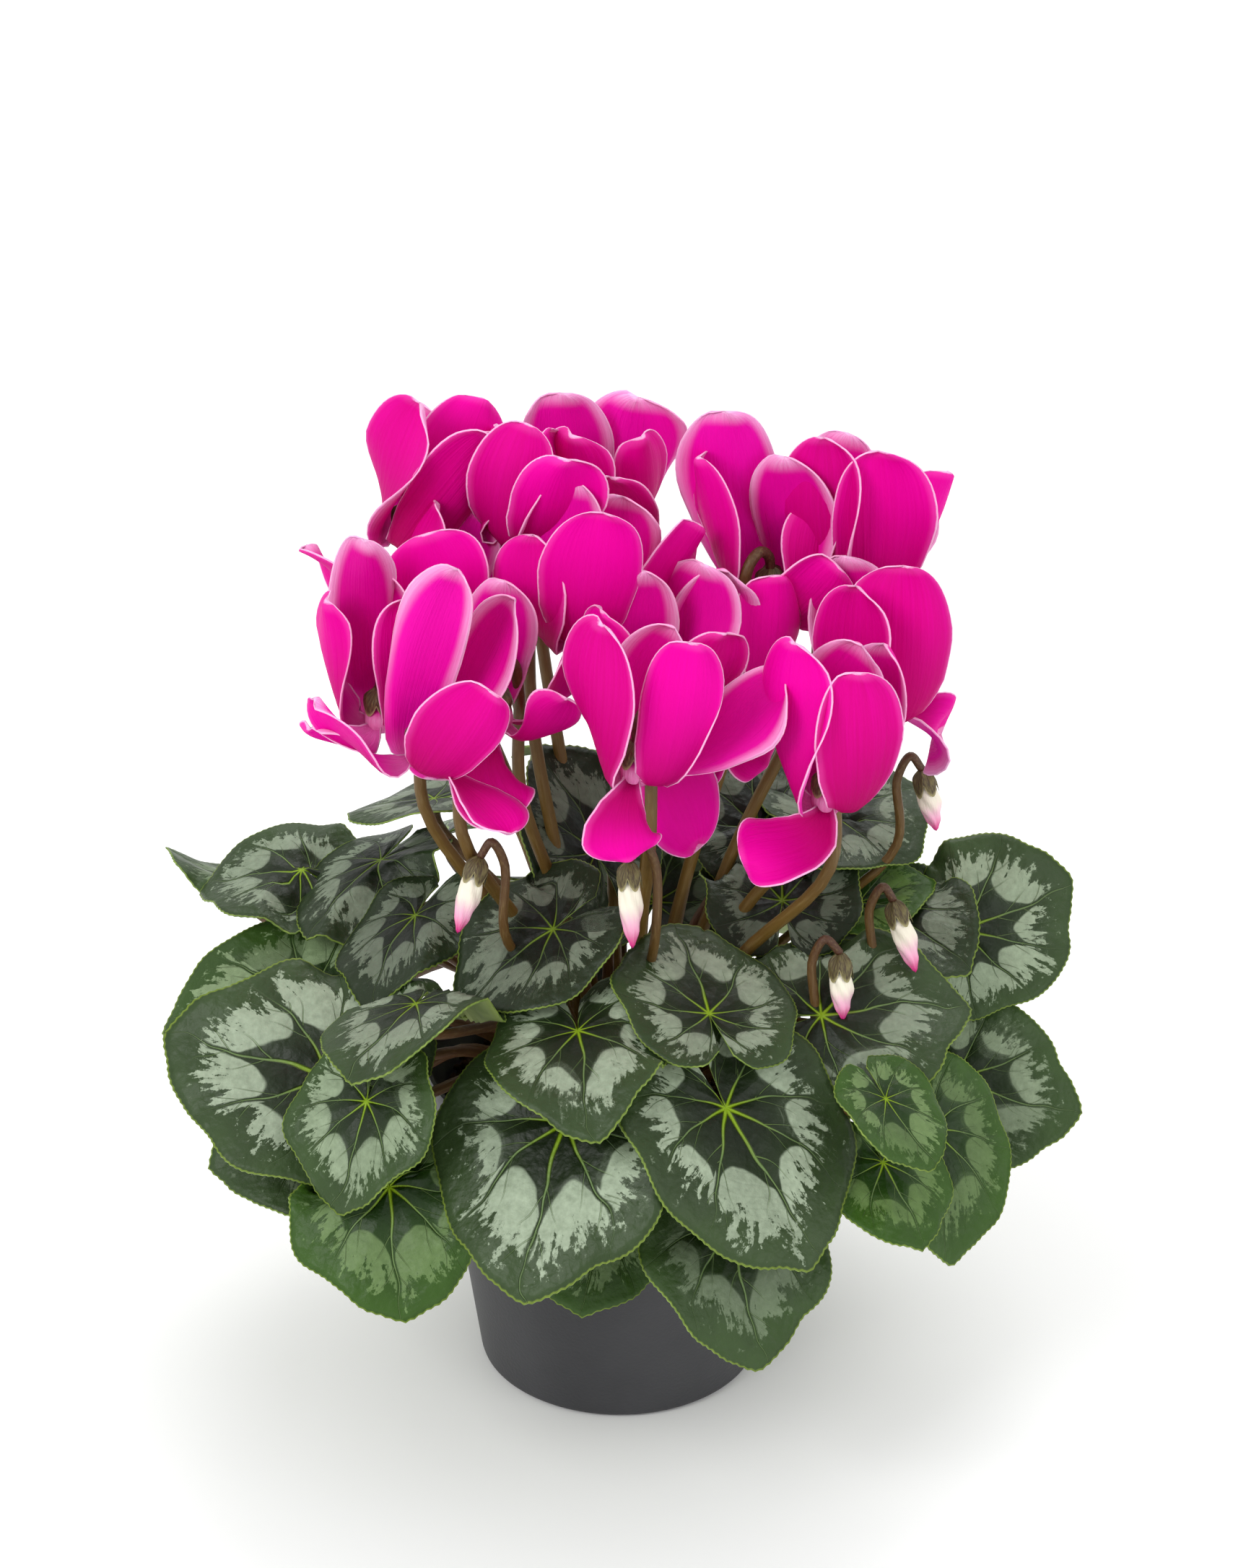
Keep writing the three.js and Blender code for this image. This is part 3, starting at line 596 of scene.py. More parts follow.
# Pieces
class Piece:
    """A mesh under construction, with a surface map and three carried numbers."""

    def __init__(self, name, *materials):
        self.name = name
        self.materials = materials
        self.mesh = bmesh.new()
        self.surface = self.mesh.loops.layers.uv.new("surface")
        self.look = self.mesh.verts.layers.float_vector.new("look")

    def grid(self, columns, rows, place, material=0, look=None, merge=True):
        """A grid laid where place(u, v) says; seams and poles that meet are merged."""
        made = bmesh.ops.create_grid(self.mesh, x_segments=columns, y_segments=rows, size=1)
        verts = made["verts"]
        faces = {face for vert in verts for face in vert.link_faces}
        for face in faces:
            face.smooth = True
            face.material_index = material
            for loop in face.loops:
                co = loop.vert.co
                loop[self.surface].uv = ((co.x + 1) / 2, (co.y + 1) / 2)
        for vert in verts:
            u, v = (vert.co.x + 1) / 2, (vert.co.y + 1) / 2
            vert.co = place(u, v) * MM
            if look:
                vert[self.look] = look(u, v)
        if merge:
            bmesh.ops.remove_doubles(self.mesh, verts=verts, dist=MERGE_DISTANCE)

    def tube(self, path, radii, sides, material=0):
        """A round closed tube along a path, its ends drawn to a point."""
        last = len(path) - 1
        start = (path[1] - path[0]).normalized()
        side = Vector((1, 0, 0)) if abs(start.z) > 0.9 else Vector((0, 0, 1))
        rings = []
        for k, point in enumerate(path):
            along = (path[min(k + 1, last)] - path[max(k - 1, 0)]).normalized()
            side = (side - along * side.dot(along)).normalized()
            rings.append((point, side, along.cross(side), radii[k]))
        rows = len(path) + 1

        def place(u, v):
            k = round(v * rows)
            point, side, other, radius = rings[min(max(k - 1, 0), last)]
            if k in (0, rows):
                radius = 0
            turn = -2 * math.pi * u
            return point + side * radius * math.cos(turn) + other * radius * math.sin(turn)

        self.grid(sides, rows, place, material)

    def make(self, slot, *replaced, thickness=0):
        """Makes the object, which has a wall if it is a sheet and faces outwards if not."""
        if not thickness:
            bmesh.ops.recalc_face_normals(self.mesh, faces=self.mesh.faces[:])
        data = bpy.data.meshes.new(self.name)
        self.mesh.to_mesh(data)
        self.mesh.free()
        for material in self.materials:
            data.materials.append(material)
        piece = bpy.data.objects.new(self.name, data)
        bpy.context.scene.collection.objects.link(piece)
        if thickness:
            wall = piece.modifiers.new("wall", "SOLIDIFY")
            wall.thickness = thickness * MM
            wall.offset = 0
            wall.material_offset = 1
            wall.material_offset_rim = 2
        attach(piece, "root")
        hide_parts(*replaced)
        return piece


# Leaf blades. Each row: name, heart of the blade where the stalk joins it (x, y, z), the way
# the tip points seen from above, how far the tip droops, how far the left side drops, and the
# length from the heart to the tip. Then the width, the doming and the curl of the tip, and
# how silvery it is and its painted light, from -1 for a deep green that is painted shade to 1
# for a bright yellow-green that is painted light shining through it. A blade lies over those
# that come after it.
BLADES = [
    ("leaf_30", 46, 33, 181, 99, -39, 0, 38, 1.0, 0.10, 0.05, 0.3, -0.8),
    ("leaf_29", 12, 34, 152, 76, -25, 0, 42, 1.0, 0.08, 0.05, 0.3, -0.5),
    ("leaf_28", -8, 6, 187, 135, -60, 0, 39, 1.0, 0.10, 0.05, 0.35, -0.8),
    ("leaf_31", -61, 27, 195, 155, 13, -5, 34, 0.9, 0.10, 0.05, 0.5, -0.3),
    ("leaf_26", 70, 26, 190, 38, -3, -22, 40, 1.0, 0.10, 0.05, 0.55, -0.4),
    ("leaf_05", -21, -40, 184, -158, 24, 10, 40, 1.0, 0.10, 0.08, 0.45, -0.7),
    ("leaf_27", 53, -2, 173, 92, -40, 0, 37, 1.0, 0.10, 0.05, 0.3, -0.8),
    ("leaf_09", -66, -12, 173, -125, 18, -20, 36, 1.0, 0.12, 0.06, 0.35, -0.7),
    ("leaf_36", 2, 72, 187, 88, 22, 0, 55, 1.0, 0.10, 0.05, 0.8, 0.2),
    ("leaf_10", -79, 25, 173, -135, 10, -20, 38, 1.0, 0.12, 0.10, 0.5, -0.6),
    ("leaf_25", 79, 9, 166, 18, -16, -10, 27, 0.9, 0.08, 0.04, 0.6, 1.0),
    ("leaf_18", 83, -80, 146, -48, 30, 6, 27, 1.0, 0.08, 0.04, 0.6, 0.8),
    ("leaf_04", 28, -62, 166, 106, -20, -10, 42, 1.0, 0.10, 0.02, 0.75, -0.2),
    ("leaf_11", -106, 33, 165, 168, 8, 8, 38, 1.0, 0.10, 0.05, 0.65, -0.2),
    ("leaf_12", -124, 56, 147, 165, 2, -24, 33, 0.9, 0.02, -0.18, 0.5, 0.3),
    ("leaf_08", -64, -61, 169, -122, -2, -20, 40, 1.0, 0.12, 0.08, 0.7, 0.0),
    ("leaf_03", -13, -74, 167, -84, 4, -12, 42, 1.0, 0.12, 0.10, 0.9, -0.1),
    ("leaf_02", 33, -84, 145, -52, 36, 0, 57, 0.98, 0.10, 0.04, 1.0, 0.0),
    ("leaf_19", 64, -48, 157, 9, -4, -28, 50, 0.95, 0.10, 0.05, 0.6, -0.2),
    ("leaf_07", -79, -80, 145, -116, 44, -12, 36, 1.08, 0.10, 0.05, 0.8, 0.2),
    ("leaf_01", -17, -88, 142, -108, 34, -6, 58, 1.0, 0.10, 0.06, 1.0, -0.1),
    ("leaf_24", 88, 5, 165, -48, 4, -18, 36, 1.0, 0.10, 0.05, 0.5, -0.5),
    ("leaf_23", 114, 8, 156, 25, -16, -50, 43, 1.0, 0.08, 0.04, 0.9, 0.1),
    ("leaf_06", -93, -52, 136, 169, -14, 38, 56, 0.95, 0.10, 0.06, 0.9, 0.0),
    ("leaf_13", -103, -12, 142, 178, 8, 22, 50, 0.95, 0.10, 0.05, 0.85, 0.5),
    ("leaf_32", 69, 67, 152, 45, 26, 0, 57, 1.0, 0.10, 0.05, 0.9, 0.1),
    ("leaf_35", -60, 74, 156, 130, 26, 0, 55, 1.0, 0.10, 0.05, 0.8, 0.1),
    ("leaf_34", -22, 82, 133, 104, 30, 0, 60, 1.0, 0.10, 0.05, 1.0, 0.1),
    ("leaf_20", 83, -78, 121, -60, 30, 8, 31, 1.0, 0.10, 0.05, 0.5, 0.9),
    ("leaf_21", 100, -62, 123, -72, 48, 12, 43, 0.85, 0.08, 0.05, 0.45, 0.8),
    ("leaf_33", 34, 84, 129, 68, 32, 0, 60, 1.0, 0.10, 0.05, 0.8, 0.2),
    ("leaf_22", 111, -20, 115, -10, 8, -42, 42, 1.0, 0.10, 0.05, 0.8, 0.2),
    ("leaf_14", -94, -50, 116, -166, 8, 36, 40, 1.0, 0.10, 0.05, 0.35, 0.0),
    ("leaf_37", -88, 50, 119, 150, 32, 0, 54, 1.0, 0.10, 0.05, 0.8, 0.2),
    ("leaf_15", -72, -92, 121, -82, 45, -16, 42, 1.12, 0.10, 0.05, 0.5, 0.8),
    ("leaf_17", 34, -96, 110, -66, 45, 6, 46, 1.0, 0.10, 0.05, 0.4, 0.2),
    ("leaf_16", -8, -89, 107, -100, 45, 8, 31, 1.1, 0.10, 0.04, 0.5, 0.6),
]

# The heart-shaped outline, as a share of the length, by the angle from the tip
OUTLINE = [(0, 1.0), (12, 0.93), (28, 0.85), (50, 0.80), (90, 0.69), (135, 0.66),
           (158, 0.60), (SINUS, 0.44)]

# The waves of that outline: depth as a share of the length, how many go round a blade, and
# how far they shift from one blade to the next
EDGE_WAVES = [(0.025, 5, 1.7), (0.018, 9, 2.9)]
STRAIGHT_TIP = 25

# The bends of a blade, as shares of its length
FLUTE = 0.045
MIDRIB_FOLD = 0.10
LOBE_LIFT = 0.10
TIP_CURL = 1.5
QUILT = 0.010


class Blade:
    """A leaf blade: where it is held, how it lies, and its bent and waved surface."""

    over = []

    def __init__(self, name, x, y, z, aim, droop, roll, length, width, dome, curl,
                 silver, tone_and_painted_light):
        self.name = name
        self.heart = Vector((x, y, z))
        self.length = length
        self.width = width
        self.dome = dome
        self.curl = curl
        self.silver = silver
        self.tone_and_painted_light = tone_and_painted_light
        aim, droop, roll = math.radians(aim), math.radians(droop), math.radians(roll)
        self.tipward = Vector((math.cos(droop) * math.cos(aim),
                               math.cos(droop) * math.sin(aim), -math.sin(droop)))
        level = Vector((-math.sin(aim), math.cos(aim), 0))
        up = self.tipward.cross(level)
        self.side = level * math.cos(roll) - up * math.sin(roll)
        self.normal = up * math.cos(roll) + level * math.sin(roll)
        self.index = len(Blade.over)
        self.above = list(Blade.over)
        Blade.over.append(self)

    def outline(self, angle):
        turn = math.radians(angle)
        wave = sum(depth * math.sin(turn * count + self.index * shift)
                   for depth, count, shift in EDGE_WAVES)
        return eased(OUTLINE, abs(angle)) * (1 + wave * min(1, abs(angle) / STRAIGHT_TIP))

    def height(self, along, across, reach, angle):
        """Height over the plane of the blade, as a share of its length."""
        flute = math.sin(math.radians(angle) * 4 + self.index * 2.3)
        return (FLUTE * reach ** 3 * flute
                - self.dome * (along * along + across * across)
                + MIDRIB_FOLD * abs(across)
                - self.curl * max(0, along) ** 2 * TIP_CURL
                + LOBE_LIFT * max(0, -along))

    def bent_clear(self, point, reach):
        """Moves a point of this blade under the blades that lie over it."""
        held = smooth(0.02, 0.35, reach)
        for over in self.above:
            offset = point - over.heart
            if offset.length > BLADE_PUSH_EDGE * over.length:
                continue
            offset /= over.length
            along = offset.dot(over.tipward)
            across = offset.dot(over.side)
            angle = math.degrees(math.atan2(across / over.width, along))
            share = math.hypot(along, across / over.width) / over.outline(angle)
            surface = over.height(along, across, min(share, 1), angle)
            above = (offset.dot(over.normal) - surface) * over.length + BLADE_CLEARANCE
            if 0 <= above <= BLADE_PUSH_DEPTH:
                weight = held * (1 - smooth(1.02, BLADE_PUSH_EDGE, share))
                point = point - over.normal * above * weight
        return point

    def point(self, reach, angle):
        """A point of the middle surface; reach is 0 at the heart and 1 at the edge."""
        r = reach * self.outline(angle)
        along = r * math.cos(math.radians(angle))
        across = r * math.sin(math.radians(angle)) * self.width
        height = self.height(along, across, reach, angle)
        point = (self.heart + self.tipward * along * self.length
                 + self.side * across * self.length + self.normal * height * self.length)
        return self.bent_clear(point, reach)

    def build(self):
        piece = Piece(self.name + "_blade", BLADE_TOP, BLADE_UNDER, BLADE_EDGE)
        seed = (self.index * 0.37) % 1
        sectors = 2 * round(self.length * TEETH_PER_LENGTH)

        def place(u, v):
            column = round(u * sectors)
            reach = v ** 0.9
            if v > 0.999 and column % 2:
                reach = 1 - TOOTH_DEPTH / self.length
            angle = lerp(SINUS, -SINUS, u)
            puff = math.cos(math.radians(angle * 360 / VEIN_SPACING))
            swell = (1 - puff) * QUILT * self.length * reach * (1 - reach * reach)
            return self.point(reach, angle) + self.normal * swell

        piece.grid(sectors, BLADE_RINGS, place,
                   look=lambda u, v: (self.silver, self.tone_and_painted_light, seed))
        return piece.make("blade", self.name, thickness=BLADE_THICKNESS)

    def stalk(self):
        """The stalk's path, from the tuber over the pot's rim to the heart's underside."""
        turn = math.atan2(self.heart.y, self.heart.x)
        reach = math.hypot(self.heart.x, self.heart.y)
        root_reach = lerp(20, 8, part_way(LOW_LEAF, HIGH_LEAF, self.heart.z))
        root = around(turn, root_reach, STALK_ROOT_Z)
        end = self.heart - self.normal * (BLADE_THICKNESS / 2 + 0.1)
        neck = self.heart - self.normal * LEAF_STALK_NECK
        over_rim = 1 - smooth(POT_HEIGHT, POT_HEIGHT + 30, self.heart.z)
        middle_reach = min(lerp(0.52, 0.68, over_rim) * reach, LEAF_STALK_SPREAD)
        clear_of_rim = 96 + 0.62 * middle_reach
        middle_z = max(lerp(root.z, neck.z, 0.62) + 4, clear_of_rim)
        middle = around(turn, middle_reach, middle_z)
        return along_curve([root, middle, neck, end], LEAF_STALK_STEPS)


# Blooms. The mouth faces down, its stalk hooks over from the stem side, and the five petals,
# in order round from the stalk, reach back up: tip from the mouth (x, y, z), and the width.
BLOOMS = [
    ("bloom_01", (-68, 34, 287), -10, [
        (18, 28, 30, 30), (4, 24, 36, 28), (5, -4, 48, 32), (29, -14, 40, 26), (24, 14, 42, 32)]),
    ("bloom_02", (-33, 22, 293), 60, [
        (-14, 20, 26, 28), (-6, 14, 32, 30), (4, -4, 40, 26), (17, -16, 33, 30),
        (12, 24, 26, 30)]),
    ("bloom_03", (-2, 51, 284), -100, [
        (-1, -20, 25, 24), (9, -4, 32, 22), (8, 14, 38, 36), (-17, 8, 42, 28),
        (-13, -12, 36, 30)]),
    ("bloom_04", (-15, -4, 270), 170, [
        (-12, 2, 34, 26), (10, -10, 47, 32), (40, 12, 33, 26), (16, 22, 38, 30),
        (1, 14, 47, 26)]),
    ("bloom_05", (48, 18, 272), -135, [
        (20, -16, 20, 26), (16, 8, 30, 24), (4, 4, 48, 30), (-15, 12, 60, 32),
        (-23, 4, 48, 28)]),
    ("bloom_06", (76, 27, 272), 185, [
        (-12, -6, 55, 30), (5, -12, 53, 32), (28, 8, 37, 30), (18, 26, 26, 28),
        (-3, 18, 46, 28)]),
    ("bloom_07", (-59, 5, 273), -10, [
        (27, 12, 22, 28), (14, 20, 29, 28), (1, 14, 33, 30), (-40, 9, 20, 24),
        (-1, -6, 31, 34)]),
    ("bloom_08", (-75, -22, 249), 0, [
        (-1, 13, 46, 22), (-4, 6, 60, 22), (-15, -6, 45, 25), (-20, -24, 10, 24),
        (8, -8, 46, 20)]),
    ("bloom_09", (-61, -48, 250), 25, [
        (29, 16, 46, 24), (12, 4, 62, 24), (-32, -8, 24, 24), (22, -18, 32, 27),
        (28, -20, -16, 22)]),
    ("bloom_10", (-38, -28, 252), 60, [
        (2, 14, 42, 26), (-20, -12, -14, 20), (3, -26, -22, 26), (22, -16, 16, 22),
        (26, 4, 30, 24)]),
    ("bloom_11", (5, -56, 248), 70, [
        (12, 14, 43, 26), (-10, -8, 55, 30), (-2, -18, -20, 24), (16, -10, 50, 26),
        (46, 8, 30, 30)]),
    ("bloom_12", (11, -20, 257), 90, [
        (-4, 7, 40, 26), (-17, -6, 33, 24), (14, -12, -48, 26), (22, -7, 25, 24),
        (15, 16, 38, 32)]),
    ("bloom_13", (32, -6, 247), 100, [
        (2, 0, 46, 28), (-6, -18, -22, 24), (14, -20, -12, 22), (16, 4, 43, 26),
        (10, 24, 32, 28)]),
    ("bloom_14", (83, -10, 247), 175, [
        (-10, -8, 47, 28), (5, -2, 51, 36), (20, 14, -16, 26), (12, 28, 28, 28),
        (-12, 16, 46, 28)]),
    ("bloom_15", (64, -50, 235), 80, [
        (10, 6, 51, 28), (-11, -4, 57, 32), (-27, -19, -9, 29), (7, -12, 51, 26),
        (17, 16, 47, 28)]),
]

# Share of a petal's full width along it, before its end is rounded off
PETAL_WIDTHS = [(0, 0.22), (0.12, 0.37), (0.3, 0.66), (0.5, 0.92), (0.7, 1.05), (1, 1.08)]

# The mouth tube from its closed top down to its rim: radius, and height over the mouth
MOUTH_TUBE = [(2.6, TUBE_TOP), (TUBE_RADIUS - 0.4, 4.5), (TUBE_RADIUS, 2),
              (TUBE_RADIUS - 0.1, -0.6), (TUBE_RADIUS - 1.2, -2.4)]

# The hook at the end of a stalk: distance out from the flower, and height over its mouth
BLOOM_HOOK = [(13, -30), (13, 4), (10, 15.5), (5, 18.5), (1, 15.5), (0, 10)]


def varied(seed, step):
    """A value from -1 to 1 that differs from one petal to the next."""
    return math.sin(seed * step)


def petal_width(t):
    if t <= ROUND_END:
        return eased(PETAL_WIDTHS, t)
    share = (t - ROUND_END) / (1 - ROUND_END)
    return eased(PETAL_WIDTHS, t) * math.sqrt(max(0, 1 - share ** 2.5))


def petal_twist(turn):
    """How far the outer part of a petal turns its face to the front or the back."""
    sideways = math.cos(turn)
    towards_front = -1 if math.sin(turn) < 0.3 else 1
    return math.radians(PETAL_TWIST) * sideways * towards_front


def petal_curl(seed, t):
    """How far one margin of a petal curls over to the front, in radians."""
    return (1.2 + varied(seed, 1.1)) * math.sin(math.pi * min(1, t * 1.1))


def petal_reach(v):
    """Rows of a petal, closer together towards its round end."""
    return v + 0.85 * v * (1 - v)


def hooked_stalk(hook, root_reach, rise, steps):
    """A stalk's path from the tuber, through a middle that rises, to the hook it ends in."""
    foot = hook[0]
    root = around(math.atan2(foot.y, foot.x), root_reach, STALK_ROOT_Z)
    middle = root.lerp(foot, 0.5) + Vector((0, 0, rise))
    return along_curve([root, middle] + hook, steps)


class Bloom:
    """One flower: a short tube with its mouth down, and five petals swept back."""

    count = 0

    def __init__(self, name, mouth, stem_side, petals):
        self.name = name
        self.mouth = Vector(mouth)
        self.stem_turn = math.radians(stem_side)
        self.petals = petals
        self.index = Bloom.count
        Bloom.count += 1

    def spine(self, petal, turn, t):
        """The middle line of a petal: down and out from the mouth, then back up to its tip."""
        tip = Vector(petal[:3])
        root = around(turn, 3, -0.2)
        first = around(turn, 15, -9)
        second = tip * 0.62 + around(turn, 7)
        u = 1 - t
        return (self.mouth + root * u ** 3 + first * 3 * u * u * t
                + second * 3 * u * t * t + tip * t ** 3)

    def point(self, k, t, s):
        """A point of a petal; t runs from root to tip and s from side to side."""
        petal = self.petals[k]
        turn = self.stem_turn + math.radians(PETAL_TURNS[k])
        spine = self.spine(petal, turn, t)
        along = self.spine(petal, turn, t + 0.01) - self.spine(petal, turn, t - 0.01)
        along.normalize()
        twisted = turn + petal_twist(turn) * smooth(0.1, 0.8, t)
        lean = Vector((petal[0], petal[1], 0)) / 20
        out = around(twisted, 1).lerp(lean, t * 0.35)
        wide = Vector((-out.y, out.x, 0))
        wide = (wide - along * wide.dot(along)).normalized()
        face = wide.cross(along)
        seed = self.index * 5 + k
        half = petal[3] / 2 * petal_width(t)
        cup = lerp(0.95, 0.2 + 0.5 * varied(seed, 2.4), min(1, t * 1.4))
        held = min(1, half / 5)
        ruffle = PETAL_RUFFLE * t * t * math.sin(s * 3.1 + seed * 1.9) * held
        overlap = PETAL_OVERLAP * s * min(1, t * 8) * held
        uneven = 1 + 0.10 * s * math.sin(4.5 * t + seed * 2.1)

        # One margin rolls up as an arc; its angle is never 0, because it divides
        curled_side = 1 if seed % 3 else -1
        past = max(0, s * curled_side - CURL_START)
        curl = petal_curl(seed, t) * past / (1 - CURL_START) + 1e-6
        reach = curled_side * (min(s * curled_side, CURL_START) + past * math.sin(curl) / curl)
        lift = half * past * (1 - math.cos(curl)) / curl
        bend = cup * s
        return (spine + wide * half * reach * (1 - 0.16 * bend * bend) * uneven
                + face * (-half * 0.5 * bend * s + ruffle + overlap + lift))

    def build(self):
        piece = Piece(self.name + "_flower", PETAL_FRONT, PETAL_BACK, PETAL_EDGE)
        for k, petal in enumerate(self.petals):
            seed = self.index * 5 + k
            tone_and_painted_light = 0.5 + 0.5 * varied(seed, 1.7)
            length = Vector(petal[:3]).length * 1.15

            def look(u, v):
                t = petal_reach(v)
                side = (1 - abs(u * 2 - 1)) * petal[3] / 2 * petal_width(t)
                return (min(side * 1.2, (1 - t) * length), tone_and_painted_light, (seed * 0.23) % 1)

            # A petal that hangs shows its face outwards too
            facing = 1 if petal[2] > 0 else -1

            def place(u, v):
                return self.point(k, petal_reach(v), (u * 2 - 1) * facing)

            piece.grid(PETAL_COLUMNS, PETAL_ROWS, place, look=look, merge=False)

        rows = len(MOUTH_TUBE) - 1

        def tube(u, v):
            radius, height = MOUTH_TUBE[round(v * rows)]
            return self.mouth + around(2 * math.pi * u, radius, height)

        piece.grid(24, rows, tube, look=lambda u, v: (0.4 + v * 3, 0, 0))
        return piece.make("petal", self.name, thickness=PETAL_THICKNESS)

    def stalk(self):
        hook = [self.mouth + around(self.stem_turn, reach, height)
                for reach, height in BLOOM_HOOK]
        root_reach = 4 + (self.index * 5) % 9
        return hooked_stalk(hook, root_reach, 8, BLOOM_STALK_STEPS)


# Buds: top of the closed flower, its tip, and the side that the stalk hooks over from
BUDS = [
    ("bud_1", (-45, -45, 208), (-51, -51, 189), 10),
    ("bud_2", (3, -52, 210), (4, -57, 187), 25),
    ("bud_3", (89, -25, 181), (95, -31, 163), 175),
    ("bud_4", (70, -45, 173), (71, -49, 156), 170),
    ("bud_5", (99, 10, 210), (103, 7, 194), 180),
]

# A bud's radius along it, and the hook of its stalk up to where the bud's neck joins
BUD_RADII = [(0, 2.6), (0.2, 3.5), (0.42, 3.8), (0.75, 2.4), (0.93, 1.0), (1, 0.3)]
BUD_HOOK = [(9, -24), (9, 2), (5, 10)]
BUD_NECK = 5


class Bud:
    """A closed flower that hangs from its hooked stalk, its petals twisted to a point."""

    count = 0

    def __init__(self, name, top, tip, stem_side):
        self.name = name
        self.top = Vector(top)
        self.tip = Vector(tip)
        self.down = (self.tip - self.top).normalized()
        self.stem_turn = math.radians(stem_side)
        self.index = Bud.count
        Bud.count += 1

    def build(self):
        piece = Piece(self.name + "_flower", BUD_SKIN)
        side = self.down.orthogonal().normalized()
        other = self.down.cross(side)

        def place(u, v):
            radius = 0 if v in (0, 1) else eased(BUD_RADII, v)
            turn = 2 * math.pi * u
            radius *= 1 + BUD_FOLD_DEPTH * math.cos(BUD_FOLDS * turn)
            twist = turn + v * BUD_TWIST
            centre = self.top.lerp(self.tip, v)
            return centre + side * radius * math.cos(twist) - other * radius * math.sin(twist)

        piece.grid(40, 20, place)
        return piece.make("bud", self.name)

    def stalk(self):
        hook = [self.top + around(self.stem_turn, reach, height)
                for reach, height in BUD_HOOK]
        neck = self.top - self.down * BUD_NECK
        return hooked_stalk(hook + [neck], 7 + self.index, 6, BUD_STALK_STEPS)


def calyx(piece, top, down, radius, length, material):
    """Five pointed sepals that hug the top of a flower."""
    side = down.orthogonal().normalized()
    other = down.cross(side)

    def place(u, v):
        lobe = abs(math.cos(SEPALS * math.pi * u)) ** 0.8
        reach = length * (0.55 + 0.45 * lobe) * v
        spread = radius * math.sin(math.pi / 2 * min(1, v * 1.5)) ** 0.8
        flare = 1 + 0.10 * max(0, v - 0.6) * (1 - lobe)
        turn = -2 * math.pi * u
        ring = side * math.cos(turn) + other * math.sin(turn)
        return top + down * reach + ring * spread * flare

    piece.grid(60, 8, place, material)


def tapered(radius, top_share, steps):
    """Radii along a stalk, from its swollen foot to its thinner top."""
    return [radius * lerp(STALK_FOOT_SWELL, top_share, k / steps) for k in range(steps + 1)]


def tuber_point(u, v):
    tilt = math.pi * (v - 0.5)
    ball = around(2 * math.pi * u, math.cos(tilt), math.sin(tilt))
    reach = TUBER_RADIUS * (1 + TUBER_LUMPS * noise.noise(ball * 2.5))
    return Vector((reach * ball.x, reach * ball.y, TUBER_CENTRE + TUBER_HALF_HEIGHT * ball.z))


def build_crown(blades, blooms, buds):
    piece = Piece("crown_stalks", LEAF_STALK, BLOOM_STALK, SEPAL_SKIN, CORK)
    of_leaf, of_bloom, sepals, cork = range(4)
    for blade in blades:
        radii = tapered(LEAF_STALK_RADIUS, 0.92, LEAF_STALK_STEPS)
        piece.tube(blade.stalk(), radii, LEAF_STALK_SIDES, of_leaf)
    for bloom in blooms:
        radii = tapered(BLOOM_STALK_RADIUS, 0.85, BLOOM_STALK_STEPS)
        piece.tube(bloom.stalk(), radii, BLOOM_STALK_SIDES, of_bloom)
        top = bloom.mouth + Vector((0, 0, CALYX_TOP))
        calyx(piece, top, Vector((0, 0, -1)), CALYX_RADIUS, CALYX_LENGTH, sepals)
    for bud in buds:
        radii = tapered(BUD_STALK_RADIUS, 0.9, BUD_STALK_STEPS)
        piece.tube(bud.stalk(), radii, BUD_STALK_SIDES, of_bloom)
        top = bud.top - bud.down * BUD_CALYX_TOP
        calyx(piece, top, bud.down, BUD_CALYX_RADIUS, BUD_CALYX_LENGTH, sepals)
    piece.grid(48, 20, tuber_point, cork)
    return piece.make("stalk", "crown")


def inside_radius(z):
    """Inside radius of the pot's tapered body at a height."""
    share = min(1, z / (POT_HEIGHT - RIM_HEIGHT))
    return lerp(BASE_RADIUS, BODY_RADIUS, share) - POT_WALL


def build_pot():
    piece = Piece("pot_body", POT_PLASTIC)
    shoulder = POT_HEIGHT - RIM_HEIGHT
    rim_inside = RIM_RADIUS - POT_WALL

    # Radius and height, from the middle of the base out, up, over the rim and down inside
    profile = [
        (0, 0), (BASE_RADIUS - 2.2, 0), (BASE_RADIUS - 0.9, 0.3), (BASE_RADIUS - 0.1, 1.0),
        (BASE_RADIUS + 0.25, 2.2),
        (BODY_RADIUS - 0.1, shoulder - 1), (BODY_RADIUS + 0.1, shoulder - 0.2),
        (BODY_RADIUS + 0.5, shoulder + 0.2), (RIM_RADIUS - 1.6, shoulder + 0.5),
        (RIM_RADIUS - 1.0, shoulder + 1.0), (RIM_RADIUS - 0.1, POT_HEIGHT - 1.2),
        (RIM_RADIUS - 0.2, POT_HEIGHT - 0.4), (RIM_RADIUS - 0.7, POT_HEIGHT - 0.1),
        (rim_inside + 0.4, POT_HEIGHT - 0.1), (rim_inside, POT_HEIGHT - 0.5),
        (rim_inside - 1.2, shoulder + 2.5), (inside_radius(shoulder), shoulder + 0.5),
        (inside_radius(POT_FLOOR) + 0.1, POT_FLOOR + 1), (inside_radius(POT_FLOOR) - 1, POT_FLOOR),
        (0, POT_FLOOR)]
    mesh = piece.mesh
    verts = [mesh.verts.new(Vector((r, 0, z)) * MM) for r, z in profile]
    edges = [mesh.edges.new(pair) for pair in zip(verts, verts[1:])]
    bmesh.ops.spin(mesh, geom=verts + edges, cent=(0, 0, 0), axis=(0, 0, 1),
                   angle=2 * math.pi, steps=POT_STEPS, use_merge=True, use_duplicate=False)
    bmesh.ops.remove_doubles(mesh, verts=mesh.verts[:], dist=MERGE_DISTANCE)
    for face in mesh.faces:
        face.smooth = True
    pot = piece.make("dark_plastic", "pot")
    cut_drain_holes(pot)
    crease(pot)
    return pot


